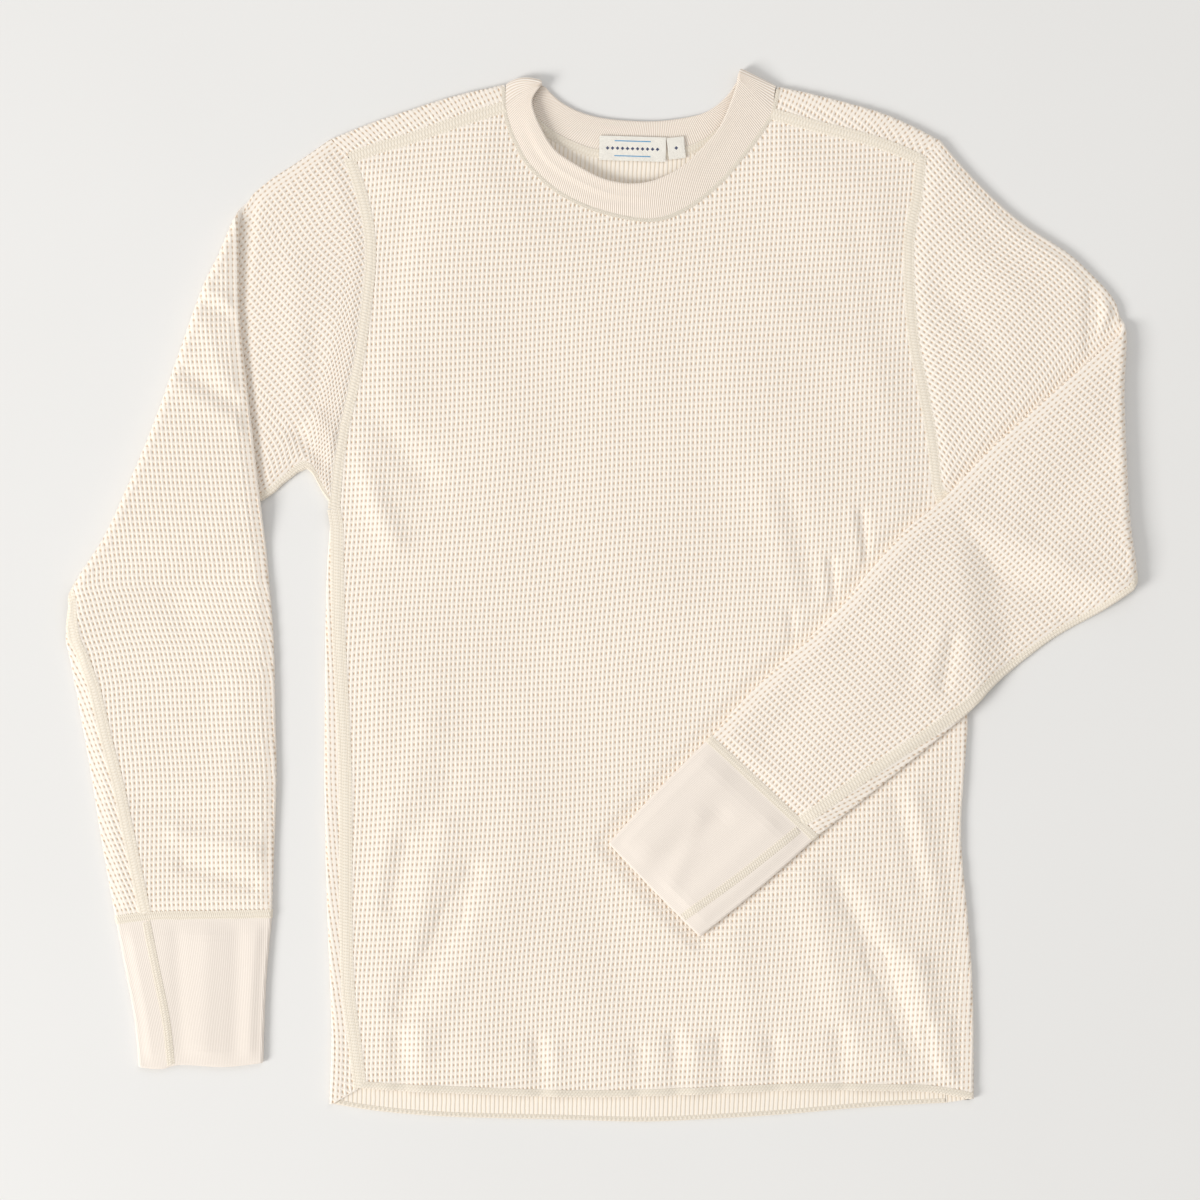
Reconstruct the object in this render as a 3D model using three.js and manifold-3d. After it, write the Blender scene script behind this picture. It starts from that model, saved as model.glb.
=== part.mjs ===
// Waffle-knit thermal top, laid flat and face up with both sleeves folded forward over themselves.
// Millimetres, +Z up: X runs to the viewer's right, Y towards the neck, and the cloth rests on Z = 0.
// The origin is the middle of the garment's outline on the surface it lies on.
// "Right" and "left" in the names are the wearer's, so sleeve_right is on the -X side.

import * as THREE from "three";
import Module from "manifold-3d";
import { mergeVertices } from "three/addons/utils/BufferGeometryUtils.js";

const wasm = await Module();
wasm.setup();

// Cloth and the way its layers lie
const WALL = 2.0;
const AIR = 0.6;
const SEAM_GAP = 0.3;
const LAYER = WALL + AIR;
const LOW = WALL / 2;
const HIGH = LOW + LAYER;
const HALF_TUBE = WALL + AIR / 2;
const HALF_AIR = AIR / 2;
const FOLD_RADIUS = LAYER;
const FOLD_HEIGHT = 2 * WALL + 1.5 * AIR;
const LOFT = 1.2;
const RIB_RISE = 4.2;
const RIB_GAP = 0.35;
const LABEL_THICKNESS = 0.8;

// How finely each piece is divided
const SIDE_STEPS = 12;
const ARM_STEPS = 10;
const SHOULDER_STEPS = 5;
const NECK_STEPS = 14;
const ROLL_STEPS = 4;
const UPPER_STEPS = 7;
const FOREARM_STEPS = 16;
const CUFF_STEPS = 6;
const TAIL_LAP = 6;
const SLIVER = 0.05;
const OUTLINE_SAMPLES = 400;
const RIB_SHARES = [0, 0.5, 1];
const LABEL_ROWS = [-1, 0, 1];
const LABEL_COLUMNS = [-1, -0.5, 0, 0.5, 1];

// Finishes
const KNIT = { color: 0xf1e6d2, roughness: 0.95, metalness: 0 };
const RIB = { color: 0xefe2d0, roughness: 0.93, metalness: 0 };
const SATIN = { color: 0xf3f1ea, roughness: 0.6, metalness: 0 };

const at = (x, y) => ({ x, y });

// Side folds from hem to armpit: the outline, and the side seam that lies inside it
const SIDE_RIGHT = {
  edge: [at(-196.5, -366.5), at(-195, -319), at(-196, -281.5), at(-198.5, -219.5), at(-200, -144.5),
    at(-200, -87), at(-199.5, -29), at(-198.5, 14.5), at(-196, 50)],
  seam: [at(-174, -355), at(-178.5, -319), at(-183, -281.5), at(-184.5, -219.5), at(-184.5, -144.5),
    at(-186.5, -87), at(-189.5, -29), at(-190.5, 14.5), at(-191, 50)],
};
const SIDE_LEFT = {
  edge: [at(268, -363), at(268, -320.5), at(267, -277), at(264, -234), at(259, -173), at(262, -119),
    at(263.5, -86.5), at(259, -18), at(250, 39.5), at(244, 66)],
  seam: [at(247.5, -366), at(249, -320.5), at(250, -277), at(248, -234), at(244, -173), at(247.5, -119),
    at(250, -86.5), at(247.5, -18), at(241.5, 39.5), at(238.5, 66)],
};

// Shoulder folds from armhole to neck: the outline, and the shoulder seam on the front
const SHOULDER_RIGHT = {
  edge: [at(-196, 328.5), at(-170, 339), at(-144, 348), at(-107.5, 359.5), at(-70.5, 368)],
  seam: [at(-182, 314.5), at(-162.5, 321.5), at(-137.5, 329), at(-101.5, 341.5), at(-70, 351.5)],
};
const SHOULDER_LEFT = {
  edge: [at(244, 327.5), at(223, 338.5), at(197.5, 349), at(155, 360.5), at(126.5, 366.5)],
  seam: [at(229.5, 313), at(213, 320.5), at(190, 328.5), at(150.5, 338.5), at(122.5, 346.5)],
};

// Armhole seams from the shoulder seam down to the armpit
const ARMHOLE_RIGHT = [at(-182, 314.5), at(-173.5, 289.5), at(-168, 263.5), at(-167, 240), at(-170, 209),
  at(-175, 172), at(-180.5, 144.5), at(-186.5, 119), at(-190.5, 90), at(-193, 62)];
const ARMHOLE_LEFT = [at(229.5, 313), at(227, 286.5), at(222.5, 265.5), at(221, 245), at(222, 213),
  at(225, 181.5), at(231, 150), at(237, 118), at(240, 95), at(241.5, 78)];

// Hems from the wearer's right to left, between the side folds
const HEM_FRONT = [at(-145.5, -357), at(-109.5, -358.5), at(-59, -360.5), at(-1.5, -361.5),
  at(70.5, -359.5), at(142.5, -356.5), at(200, -357), at(236, -358)];
const HEM_BACK = [at(-160, -372), at(-109.5, -376), at(-30, -378), at(27.5, -379.5),
  at(70.5, -378), at(128, -374.5), at(186, -369.5), at(225.5, -367)];

// Neck seams and the neck rib's free edge, from the wearer's right to left
const NECK_FRONT = [at(-70, 351.5), at(-67.5, 340.5), at(-62.5, 327.5), at(-52, 309.5), at(-30, 290),
  at(-1.5, 277), at(34.5, 270.5), at(60, 278.5), at(85, 298), at(104.5, 321), at(115.5, 336),
  at(122.5, 346.5)];
const NECK_BACK = [at(-68, 362), at(-59, 354), at(-48, 345), at(-34, 333.5), at(-15, 324.5), at(-1.5, 321),
  at(27.5, 319), at(56, 322), at(74, 329), at(90.5, 342.5), at(107.5, 355), at(122, 361)];
const FREE_FRONT = [at(-44, 366), at(-49.5, 358), at(-49.5, 350.5), at(-44.5, 337.5), at(-34, 320.5),
  at(-15, 307.5), at(3, 299), at(21.5, 296), at(39.5, 299), at(58.5, 309), at(74, 324), at(85, 337.5),
  at(93, 356), at(98, 371)];
const FREE_BACK = [at(-40.5, 366), at(-36, 361), at(-28, 354.5), at(-15, 348), at(3, 343.5), at(30, 341.5),
  at(49, 342.5), at(70.5, 346.5), at(82, 352.5), at(91, 361), at(97, 370)];
const NECK_FOLD = {
  right: { seam: at(-69.4, 368), free: at(-42.5, 371.5) },
  left: { seam: at(125.6, 367), free: at(100, 379.4) },
};

// Sleeve outlines: the edge on the shoulder side, the hidden underarm edge, the fold, and the forearm
const SLEEVE_RIGHT = {
  top: [at(-221, 311), at(-246, 292.5), at(-256.5, 283)],
  under: [at(-202, 74), at(-213, 91), at(-229.5, 81.5), at(-246, 68.5), at(-318, 29)],
  fold: [at(-265, 272), at(-276.5, 245.5), at(-288.5, 220.5), at(-304, 177), at(-324, 121.5),
    at(-342, 78.5), at(-359.5, 41), at(-377.5, 13), at(-386.8, -7)],
  inner: [at(-261.5, 205), at(-256.5, 154), at(-252, 116.5), at(-246, 66), at(-242, 28), at(-237, -29),
    at(-235.5, -87), at(-234.5, -129.5), at(-236, -180.5)],
  outer: [at(-385, -32.5), at(-382.5, -47), at(-375, -87), at(-367, -134.5), at(-360, -180.5)],
  cuffSeam: [at(-237.5, -229.5), at(-283.5, -230.5), at(-322, -231), at(-350.5, -234)],
  cuffInner: [at(-242, -281.5)],
  cuffOuter: [at(-344, -268.5), at(-337, -306.5)],
  cuffEnd: [at(-244, -337), at(-272, -340), at(-303, -338.5), at(-318, -341.5), at(-334, -340)],
};
const SLEEVE_LEFT = {
  top: [at(260.5, 308), at(281.5, 286.5), at(303, 268), at(335, 247), at(353.5, 229.5), at(364.5, 215.5),
    at(374.5, 198)],
  under: [at(286.5, 54), at(337, 28)],
  fold: [at(378, 185), at(376.5, 139), at(380, 61), at(384.5, 25), at(386, 3.5)],
  inner: [at(353.5, 170.5), at(324, 145.5), at(281.5, 107.5), at(245.5, 69), at(214.5, 43), at(164, -16),
    at(114, -62.5)],
  outer: [at(358.5, -12), at(322.5, -32.5), at(286.5, -61), at(261.5, -86.5), at(214.5, -126)],
  cuffSeam: [at(76.5, -103), at(115, -139), at(153.5, -175)],
  cuffInner: [at(39.5, -140.5)],
  cuffOuter: [at(111.5, -212.5)],
  cuffEnd: [at(4.5, -178.5), at(38, -213.5), at(70.5, -246)],
};

// The largest soft folds on top, each a ridge or trough along a line
const FOLDS = [
  { name: "left_hip_ridge", from: at(224, -170), to: at(244, -345), wide: 11, high: 3.4 },
  { name: "left_hip_trough", from: at(196, -160), to: at(226, -340), wide: 13, high: -1.6 },
  { name: "right_hip_trough", from: at(-104, -115), to: at(-150, -290), wide: 12, high: -1.4 },
  { name: "right_hip_ridge", from: at(-128, -95), to: at(-170, -230), wide: 13, high: 1.8 },
  { name: "armpit_dent", from: at(-166, 132), to: at(-128, 84), wide: 12, high: -1.3 },
  { name: "armpit_ridge", from: at(-178, 98), to: at(-150, 40), wide: 10, high: 2.4 },
  { name: "chest_ridge", from: at(120, 76), to: at(150, -10), wide: 9, high: 2.2 },
  { name: "side_ridge", from: at(180, 72), to: at(194, 32), wide: 7, high: 2.0 },
];

// How far the lifted cloth keeps from seams and from the sleeve that lies on it
const LIFT_MARGIN = 34;
const SLEEVE_SPAN = { from: at(372, 90), to: at(38, -212), half: 92, clear: 30 };
const DRAPE_START = 3;
const DRAPE_RUN = 24;
const LEFT_ARMPIT = at(238, 76);
const LEFT_WAIST = { from: at(247, 50), to: at(264, -87) };

const NECK_LABEL = { x: 22, y: 321.5, wide: 48, deep: 17.6, turn: -1.7 };
const SIZE_TAB = { x: 53.5, y: 322, wide: 12.4, deep: 15.6, turn: 6 };

// A smooth line through a few points, divided into equal steps
function smoothLine(points, steps) {
  const curve = new THREE.SplineCurve(points.map(({ x, y }) => new THREE.Vector2(x, y)));
  curve.arcLengthDivisions = OUTLINE_SAMPLES;
  return curve.getSpacedPoints(steps);
}

function mix(a, b, share) {
  return new THREE.Vector2(a.x + (b.x - a.x) * share, a.y + (b.y - a.y) * share);
}

function towards(a, b, distance) {
  const length = Math.hypot(b.x - a.x, b.y - a.y);
  return mix(a, b, distance / length);
}

function smoothStep(value, start, end) {
  return THREE.MathUtils.smoothstep(value, start, end);
}

const lift3 = (point, z) => new THREE.Vector3(point.x, point.y, z);

// Distance from a point to the line between two others
function distanceTo(point, from, to) {
  const along = new THREE.Vector2(to.x - from.x, to.y - from.y);
  const out = new THREE.Vector2(point.x - from.x, point.y - from.y);
  const share = THREE.MathUtils.clamp(out.dot(along) / along.lengthSq(), 0, 1);
  return out.addScaledVector(along, -share).length();
}

// A closed wall between an outer and an inner sheet of points; loop joins each row's ends
function wall(outer, inner, loop = false) {
  const rows = outer.length;
  const columns = outer[0].length;
  const skin = rows * columns;
  const spans = loop ? columns : columns - 1;
  const index = [];
  const quad = (a, b, c, d) => index.push(a, b, c, a, c, d);
  for (let i = 0; i < rows - 1; i += 1) {
    for (let j = 0; j < spans; j += 1) {
      const next = (j + 1) % columns;
      const row = i * columns;
      const above = row + columns;
      const [a, b, c, d] = [row + j, row + next, above + next, above + j];
      quad(a, b, c, d);
      quad(skin + d, skin + c, skin + b, skin + a);
    }
  }
  const last = (rows - 1) * columns;
  for (let j = 0; j < spans; j += 1) {
    const next = (j + 1) % columns;
    quad(skin + j, skin + next, next, j);
    quad(last + j, last + next, skin + last + next, skin + last + j);
  }
  if (!loop) {
    for (let i = 0; i < rows - 1; i += 1) {
      const near = i * columns;
      const far = near + columns - 1;
      quad(near, near + columns, skin + near + columns, skin + near);
      quad(skin + far, skin + far + columns, far + columns, far);
    }
  }
  const geometry = new THREE.BufferGeometry();
  const points = [...outer.flat(), ...inner.flat()].flatMap((point) => point.toArray());
  geometry.setAttribute("position", new THREE.Float32BufferAttribute(points, 3));
  geometry.setIndex(index);
  return facingOut(geometry);
}

// Turns a closed mesh the right way out
function facingOut(geometry) {
  const position = geometry.getAttribute("position");
  const index = geometry.getIndex().array;
  const [a, b, c] = [new THREE.Vector3(), new THREE.Vector3(), new THREE.Vector3()];
  let volume = 0;
  for (let k = 0; k < index.length; k += 3) {
    a.fromBufferAttribute(position, index[k]);
    b.fromBufferAttribute(position, index[k + 1]);
    c.fromBufferAttribute(position, index[k + 2]);
    volume += a.dot(b.cross(c));
  }
  if (volume < 0) {
    geometry.setIndex(Array.from(index).reverse());
  }
  return geometry;
}

// Joins lapped walls into one solid
function join(geometries) {
  const solids = geometries.map((geometry) => {
    const merged = mergeVertices(geometry);
    return new wasm.Manifold(new wasm.Mesh({
      numProp: 3,
      vertProperties: new Float32Array(merged.getAttribute("position").array),
      triVerts: new Uint32Array(merged.getIndex().array),
    }));
  });
  const mesh = solids.reduce((whole, solid) => whole.add(solid)).getMesh();
  const geometry = new THREE.BufferGeometry();
  geometry.setAttribute("position", new THREE.BufferAttribute(mesh.vertProperties, 3));
  geometry.setIndex(Array.from(mesh.triVerts));
  return geometry;
}

// Shared seam lines: neighbouring pieces use the same points, half the gap to each side
const sideRight = {
  edge: smoothLine(SIDE_RIGHT.edge, SIDE_STEPS),
  seam: smoothLine(SIDE_RIGHT.seam, SIDE_STEPS),
};
const sideLeft = {
  edge: smoothLine(SIDE_LEFT.edge, SIDE_STEPS),
  seam: smoothLine(SIDE_LEFT.seam, SIDE_STEPS),
};
const shoulderRight = {
  edge: smoothLine(SHOULDER_RIGHT.edge, SHOULDER_STEPS),
  seam: smoothLine(SHOULDER_RIGHT.seam, SHOULDER_STEPS),
};
const shoulderLeft = {
  edge: smoothLine(SHOULDER_LEFT.edge, SHOULDER_STEPS),
  seam: smoothLine(SHOULDER_LEFT.seam, SHOULDER_STEPS),
};
const armholeRight = smoothLine(ARMHOLE_RIGHT, ARM_STEPS);
const armholeLeft = smoothLine(ARMHOLE_LEFT, ARM_STEPS);
const neckFront = smoothLine(NECK_FRONT, NECK_STEPS);
const neckBack = smoothLine(NECK_BACK, NECK_STEPS);

const shifted = (line, dx, dy) => line.map(({ x, y }) => new THREE.Vector2(x + dx, y + dy));

// A line moved sideways, to its left where the distance is positive
function besideLine(line, distance) {
  return line.map((point, k) => {
    const ahead = line[Math.min(k + 1, line.length - 1)];
    const along = ahead.clone().sub(line[Math.max(k - 1, 0)]).normalize();
    return new THREE.Vector2(point.x - along.y * distance, point.y + along.x * distance);
  });
}

// How much the forearm of the left sleeve, lying on the front, keeps the cloth flat
function clearOfSleeve(point) {
  const distance = distanceTo(point, SLEEVE_SPAN.from, SLEEVE_SPAN.to);
  return smoothStep(distance, SLEEVE_SPAN.half, SLEEVE_SPAN.half + SLEEVE_SPAN.clear);
}

// Height of the soft folds over the flat cloth, nothing at a distance of 0 from the seams
function softLift(point, fromSeams) {
  let high = LOFT;
  for (const fold of FOLDS) {
    const reach = distanceTo(point, fold.from, fold.to) / fold.wide;
    high += fold.high * Math.exp(-reach * reach);
  }
  return Math.max(0, high) * smoothStep(fromSeams, 0, LIFT_MARGIN) * clearOfSleeve(point);
}

// Fills the space between four boundary lines with rows of points
function patch(bottom, top, left, right) {
  const rows = left.length - 1;
  const columns = bottom.length - 1;
  return left.map((start, i) => bottom.map((foot, j) => {
    const v = i / rows;
    const u = j / columns;
    const end = right[i];
    const head = top[j];
    const blend = (axis) => (1 - v) * foot[axis] + v * head[axis] + (1 - u) * start[axis] + u * end[axis]
      - (1 - v) * ((1 - u) * bottom[0][axis] + u * bottom[columns][axis])
      - v * ((1 - u) * top[0][axis] + u * top[columns][axis]);
    return new THREE.Vector2(blend("x"), blend("y"));
  }));
}

// A flat panel's wall from its plan, lifted by the soft folds where they are wanted
function panel(plan, middle, lifted) {
  const sides = [plan.map((row) => row[0]), plan.map((row) => row.at(-1))];
  const border = [plan[0], plan.at(-1), ...sides];
  const fromBorder = (point) => Math.min(...border.flatMap((line) => line.slice(1).map(
    (end, k) => distanceTo(point, line[k], end),
  )));
  const raise = (point) => (lifted ? softLift(point, fromBorder(point)) : 0);
  const laid = (point, offset) => lift3(point, middle + offset + raise(point));
  const sheet = (offset) => plan.map((row) => row.map((point) => laid(point, offset)));
  return wall(sheet(WALL / 2), sheet(-WALL / 2));
}

// The strip of a panel that turns over its fold: it laps the panel, rolls round and ends at the seam
function turnedStrip(edge, seam, from, to, lapTo) {
  const rise = (to - from) / 2;
  const radius = Math.abs(rise);
  const reach = radius + WALL / 2;
  const sheets = [[], []];
  edge.forEach((outline, k) => {
    const inward = towards(outline, lapTo(outline, k), 1).sub(outline);
    const back = towards(outline, seam[k], 1).sub(outline);
    const path = [];
    const flat = (point, z, up, half) => {
      path.push({ point: lift3(point, z), out: new THREE.Vector3(0, 0, up), half });
    };
    const start = Math.sign(from - to);
    flat(outline.clone().addScaledVector(inward, reach + TAIL_LAP), from, start, WALL / 2 - SLIVER);
    flat(outline.clone().addScaledVector(inward, reach + 1), from, start, WALL / 2 - SLIVER);
    for (let step = 0; step <= ROLL_STEPS; step += 1) {
      const turn = (Math.PI * step) / ROLL_STEPS;
      const aside = inward.clone().lerp(back, step / ROLL_STEPS).normalize();
      const point = outline.clone().addScaledVector(aside, reach - radius * Math.sin(turn));
      const outward = aside.clone().multiplyScalar(-Math.sin(turn));
      const out = lift3(outward, start * Math.cos(turn));
      path.push({ point: lift3(point, from + rise * (1 - Math.cos(turn))), out, half: WALL / 2 });
    }
    const tail = Math.hypot(seam[k].x - outline.x, seam[k].y - outline.y) - SEAM_GAP / 2;
    flat(outline.clone().addScaledVector(back, Math.max(tail, reach + 1)), to, -start, WALL / 2);
    sheets[0].push(path.map(({ point, out, half }) => point.clone().addScaledVector(out, half)));
    sheets[1].push(path.map(({ point, out, half }) => point.clone().addScaledVector(out, -half)));
  });
  return wall(sheets[0], sheets[1]);
}

const EDGE_REACH = FOLD_RADIUS / 2 + WALL / 2;
const insideFold = (edge, dx, dy) => shifted(edge, dx * (EDGE_REACH + 1), dy * (EDGE_REACH + 1));

// Front: its right-hand edge in the view turns under to the side seam
function frontPanel() {
  const gap = SEAM_GAP / 2;
  const left = [...shifted(sideRight.seam, gap, 0), ...shifted(armholeRight, gap, 0).reverse()];
  const right = [...insideFold(sideLeft.edge, -1, 0), ...shifted(armholeLeft, -gap, 0).reverse()];
  const top = [
    ...shifted(shoulderRight.seam, gap, -gap).slice(0, -1),
    ...besideLine(neckFront, -gap),
    ...shifted(shoulderLeft.seam, -gap, -gap).reverse().slice(1),
  ];
  top[0] = left.at(-1);
  top[top.length - 1] = right.at(-1);
  const bottom = smoothLine([left[0], ...HEM_FRONT, right[0]], top.length - 1);
  const plan = patch(bottom, top, left, right);
  const lapTo = (point) => at(point.x - 1, point.y);
  return join([panel(plan, HIGH, true), turnedStrip(sideLeft.edge, sideLeft.seam, HIGH, LOW, lapTo)]);
}

// Back: it turns forward over both shoulders and over the left-hand edge in the view
function backPanel() {
  const gap = SEAM_GAP / 2;
  const inShoulder = ({ edge, seam }) => edge.map((point, k) => towards(point, seam[k], EDGE_REACH + 1));
  const left = [...insideFold(sideRight.edge, 1, 0), ...shifted(armholeRight, gap, 0).reverse()];
  const right = [...shifted(sideLeft.seam, -gap, 0), ...shifted(armholeLeft, -gap, 0).reverse()];
  left.push(inShoulder(shoulderRight)[0].add(new THREE.Vector2(gap, 0)));
  right.push(inShoulder(shoulderLeft)[0].add(new THREE.Vector2(-gap, 0)));
  const top = [
    ...inShoulder(shoulderRight).slice(0, -1),
    ...besideLine(neckBack, -gap),
    ...inShoulder(shoulderLeft).reverse().slice(1),
  ];
  top[0] = left.at(-1);
  top[top.length - 1] = right.at(-1);
  const bottom = smoothLine([left[0], ...HEM_BACK, right[0]], top.length - 1);
  const plan = patch(bottom, top, left, right);
  return join([
    panel(plan, LOW, false),
    turnedStrip(sideRight.edge, sideRight.seam, LOW, HIGH, (point) => at(point.x + 1, point.y)),
    turnedStrip(shoulderRight.edge, shoulderRight.seam, LOW, HIGH, (point, k) => shoulderRight.seam[k]),
    turnedStrip(shoulderLeft.edge, shoulderLeft.seam, LOW, HIGH, (point, k) => shoulderLeft.seam[k]),
  ]);
}

// One ring of a flattened tube: centre points across it, the side that starts on top, and the ends
function tubeRing(centres, ups, half) {
  const count = centres.length - 1;
  const endOut = (from, to) => from.clone().sub(to).setZ(0).normalize();
  const outs = [endOut(centres[0], centres[1]), endOut(centres[count], centres[count - 1])];
  const inset = centres.map((point) => point.clone());
  inset[0].addScaledVector(outs[0], -HALF_TUBE);
  inset[count].addScaledVector(outs[1], -HALF_TUBE);
  const ring = inset.map((point, j) => point.clone().addScaledVector(ups[j], half));
  const cap = (j, out, sign) => {
    for (let step = 1; step < ROLL_STEPS; step += 1) {
      const turn = (Math.PI * step) / ROLL_STEPS;
      ring.push(inset[j].clone().addScaledVector(out, half * Math.sin(turn))
        .addScaledVector(ups[j], sign * half * Math.cos(turn)));
    }
  };
  cap(count, outs[1], 1);
  for (let j = count; j >= 0; j -= 1) {
    ring.push(inset[j].clone().addScaledVector(ups[j], -half));
  }
  cap(0, outs[0], -1);
  return ring;
}

// A tube's wall from its stations, each with centre points and the direction of its first side
function tube(stations) {
  return wall(
    stations.map(({ centres, ups }) => tubeRing(centres, ups, HALF_TUBE)),
    stations.map(({ centres, ups }) => tubeRing(centres, ups, HALF_AIR)),
    true,
  );
}

// How much of a folded sleeve's forearm is held up by the cloth under it
function supportRight(point) {
  const under = [SLEEVE_RIGHT.under[2], SLEEVE_RIGHT.fold.at(-1)];
  return 1 - smoothStep(beyond(point, under[0], under[1], 1), DRAPE_START, DRAPE_START + DRAPE_RUN);
}

function supportLeft(point) {
  const belowSleeve = beyond(point, LEFT_ARMPIT, SLEEVE_LEFT.fold.at(-1), -1);
  const besideBody = beyond(point, LEFT_WAIST.from, LEFT_WAIST.to, 1);
  return 1 - smoothStep(Math.min(belowSleeve, besideBody), DRAPE_START, DRAPE_START + DRAPE_RUN);
}

// Signed distance past the line from one point to another, positive on the chosen side
function beyond(point, from, to, side) {
  const length = Math.hypot(to.x - from.x, to.y - from.y);
  const cross = (to.x - from.x) * (point.y - from.y) - (to.y - from.y) * (point.x - from.x);
  return (side * cross) / length;
}

// A sleeve: an upper arm on the surface, a roll at the fold and a forearm that lies on what is under it
function sleeve(shape, armhole, shoulder, outward, support) {
  const shares = [0];
  const seamLine = shifted([shoulder.edge[0], ...armhole], (outward * SEAM_GAP) / 2, 0);
  for (let j = 1; j < seamLine.length; j += 1) {
    shares.push(shares[j - 1] + seamLine[j].distanceTo(seamLine[j - 1]));
  }
  const whole = shares.at(-1);
  const across = (points) => {
    const fine = smoothLine(points, OUTLINE_SAMPLES);
    return shares.map((share) => fine[Math.round((share / whole) * OUTLINE_SAMPLES)].clone());
  };
  const outline = across(shape.fold);
  const outs = outline.map((point, j) => {
    const along = outline[Math.min(j + 1, outline.length - 1)].clone().sub(outline[Math.max(j - 1, 0)]);
    const out = new THREE.Vector2(-along.y, along.x).normalize();
    return out.x * outward > 0 ? out : out.negate();
  });
  const inset = -FOLD_RADIUS - HALF_TUBE;
  const axis = outline.map((point, j) => point.clone().addScaledVector(outs[j], inset));
  const edge = (from, between, to, steps) => smoothLine([from, ...between, to], steps);
  const cuffSeam = across(shape.cuffSeam);
  const upper = patch(seamLine, axis, edge(seamLine[0], shape.top, axis[0], UPPER_STEPS),
    edge(seamLine.at(-1), shape.under, axis.at(-1), UPPER_STEPS));
  const forearm = patch(axis, cuffSeam, edge(axis[0], shape.inner, cuffSeam[0], FOREARM_STEPS),
    edge(axis.at(-1), shape.outer, cuffSeam.at(-1), FOREARM_STEPS));
  const stations = upper.map((row) => ({
    centres: row.map((point) => lift3(point, HALF_TUBE)),
    ups: row.map(() => new THREE.Vector3(0, 0, 1)),
  }));
  for (let step = 1; step < 2 * ROLL_STEPS; step += 1) {
    const turn = (Math.PI * step) / (2 * ROLL_STEPS);
    const [aside, above] = [Math.sin(turn), -Math.cos(turn)];
    stations.push({
      centres: axis.map((point, j) => lift3(
        point.clone().addScaledVector(outs[j], FOLD_RADIUS * aside),
        FOLD_HEIGHT + FOLD_RADIUS * above,
      )),
      ups: outs.map((out) => new THREE.Vector3(-out.x * aside, -out.y * aside, -above)),
    });
  }
  forearm.forEach((row) => stations.push({
    centres: row.map((point) => lift3(point, HALF_TUBE + 2 * FOLD_RADIUS * support(point))),
    ups: row.map(() => new THREE.Vector3(0, 0, -1)),
  }));
  const last = stations.at(-1);
  last.centres = last.centres.map((point, j) => {
    const before = stations.at(-2).centres[j];
    return point.clone().lerp(before, SEAM_GAP / 2 / point.distanceTo(before));
  });
  return { geometry: tube(stations), end: forearm.at(-1) };
}

// A ribbed cuff: a flattened tube that goes on from the forearm
function cuff(shape, seam, support) {
  const end = smoothLine(shape.cuffEnd, OUTLINE_SAMPLES);
  const length = seam.reduce((sum, point, j) => sum + (j ? point.distanceTo(seam[j - 1]) : 0), 0);
  let run = 0;
  const ends = seam.map((point, j) => {
    run += j ? point.distanceTo(seam[j - 1]) : 0;
    return end[Math.round((run / length) * OUTLINE_SAMPLES)].clone();
  });
  const start = seam.map((point, j) => towards(point, ends[j], SEAM_GAP / 2));
  const edge = (from, between, to) => smoothLine([from, ...between, to], CUFF_STEPS);
  const plan = patch(start, ends, edge(start[0], shape.cuffInner, ends[0]),
    edge(start.at(-1), shape.cuffOuter, ends.at(-1)));
  return tube(plan.map((row) => ({
    centres: row.map((point) => lift3(point, HALF_TUBE + 2 * FOLD_RADIUS * support(point))),
    ups: row.map(() => new THREE.Vector3(0, 0, -1)),
  })));
}

// The neck rib: a band whose front lies right side up and whose back shows its inside
function neckRib() {
  const frontSeam = besideLine(neckFront, RIB_GAP);
  const backSeam = besideLine(neckBack, RIB_GAP).reverse();
  const frontFree = smoothLine(FREE_FRONT, NECK_STEPS);
  const backFree = smoothLine(FREE_BACK, NECK_STEPS).reverse();
  const station = (seam, free, seamZ, freeZ) => ({ seam: lift3(seam, seamZ), free: lift3(free, freeZ) });
  const stations = frontSeam.map((seam, j) => station(seam, frontFree[j], HIGH, HIGH + RIB_RISE));
  const roll = (fold, sign) => {
    const along = new THREE.Vector2(fold.free.x - fold.seam.x, fold.free.y - fold.seam.y).normalize();
    const out = new THREE.Vector2(-along.y, along.x);
    if (out.y < 0) {
      out.negate();
    }
    const freeLow = LOW + AIR;
    const [seamRadius, freeRadius] = [(HIGH - LOW) / 2, (HIGH + RIB_RISE - freeLow) / 2];
    for (let step = 0; step <= ROLL_STEPS; step += 1) {
      const turn = (Math.PI * step) / ROLL_STEPS;
      const above = sign * Math.cos(turn);
      const place = (corner, radius, middle) => {
        const inward = radius - radius * Math.sin(turn) + WALL / 2;
        const foot = new THREE.Vector2(corner.x, corner.y).addScaledVector(out, -inward);
        return lift3(foot, middle + radius * above);
      };
      stations.push({
        seam: place(fold.seam, seamRadius, LOW + seamRadius),
        free: place(fold.free, freeRadius, freeLow + freeRadius),
      });
    }
  };
  roll(NECK_FOLD.left, 1);
  backSeam.forEach((seam, j) => stations.push(station(seam, backFree[j], LOW, LOW + AIR)));
  roll(NECK_FOLD.right, -1);
  const count = stations.length;
  const middle = stations.map(({ seam, free }) => seam.clone().lerp(free, 0.5));
  const normals = stations.map(({ seam, free }, k) => {
    const along = middle[(k + 1) % count].clone().sub(middle[(k + count - 1) % count]);
    return along.cross(free.clone().sub(seam)).normalize();
  });
  const line = (share, half) => stations.map(({ seam, free }, k) => seam.clone().lerp(free, share)
    .addScaledVector(normals[k], half));
  const skin = (half) => RIB_SHARES.map((share) => line(share, half));
  return wall(skin(WALL / 2), skin(-WALL / 2), true);
}

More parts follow.
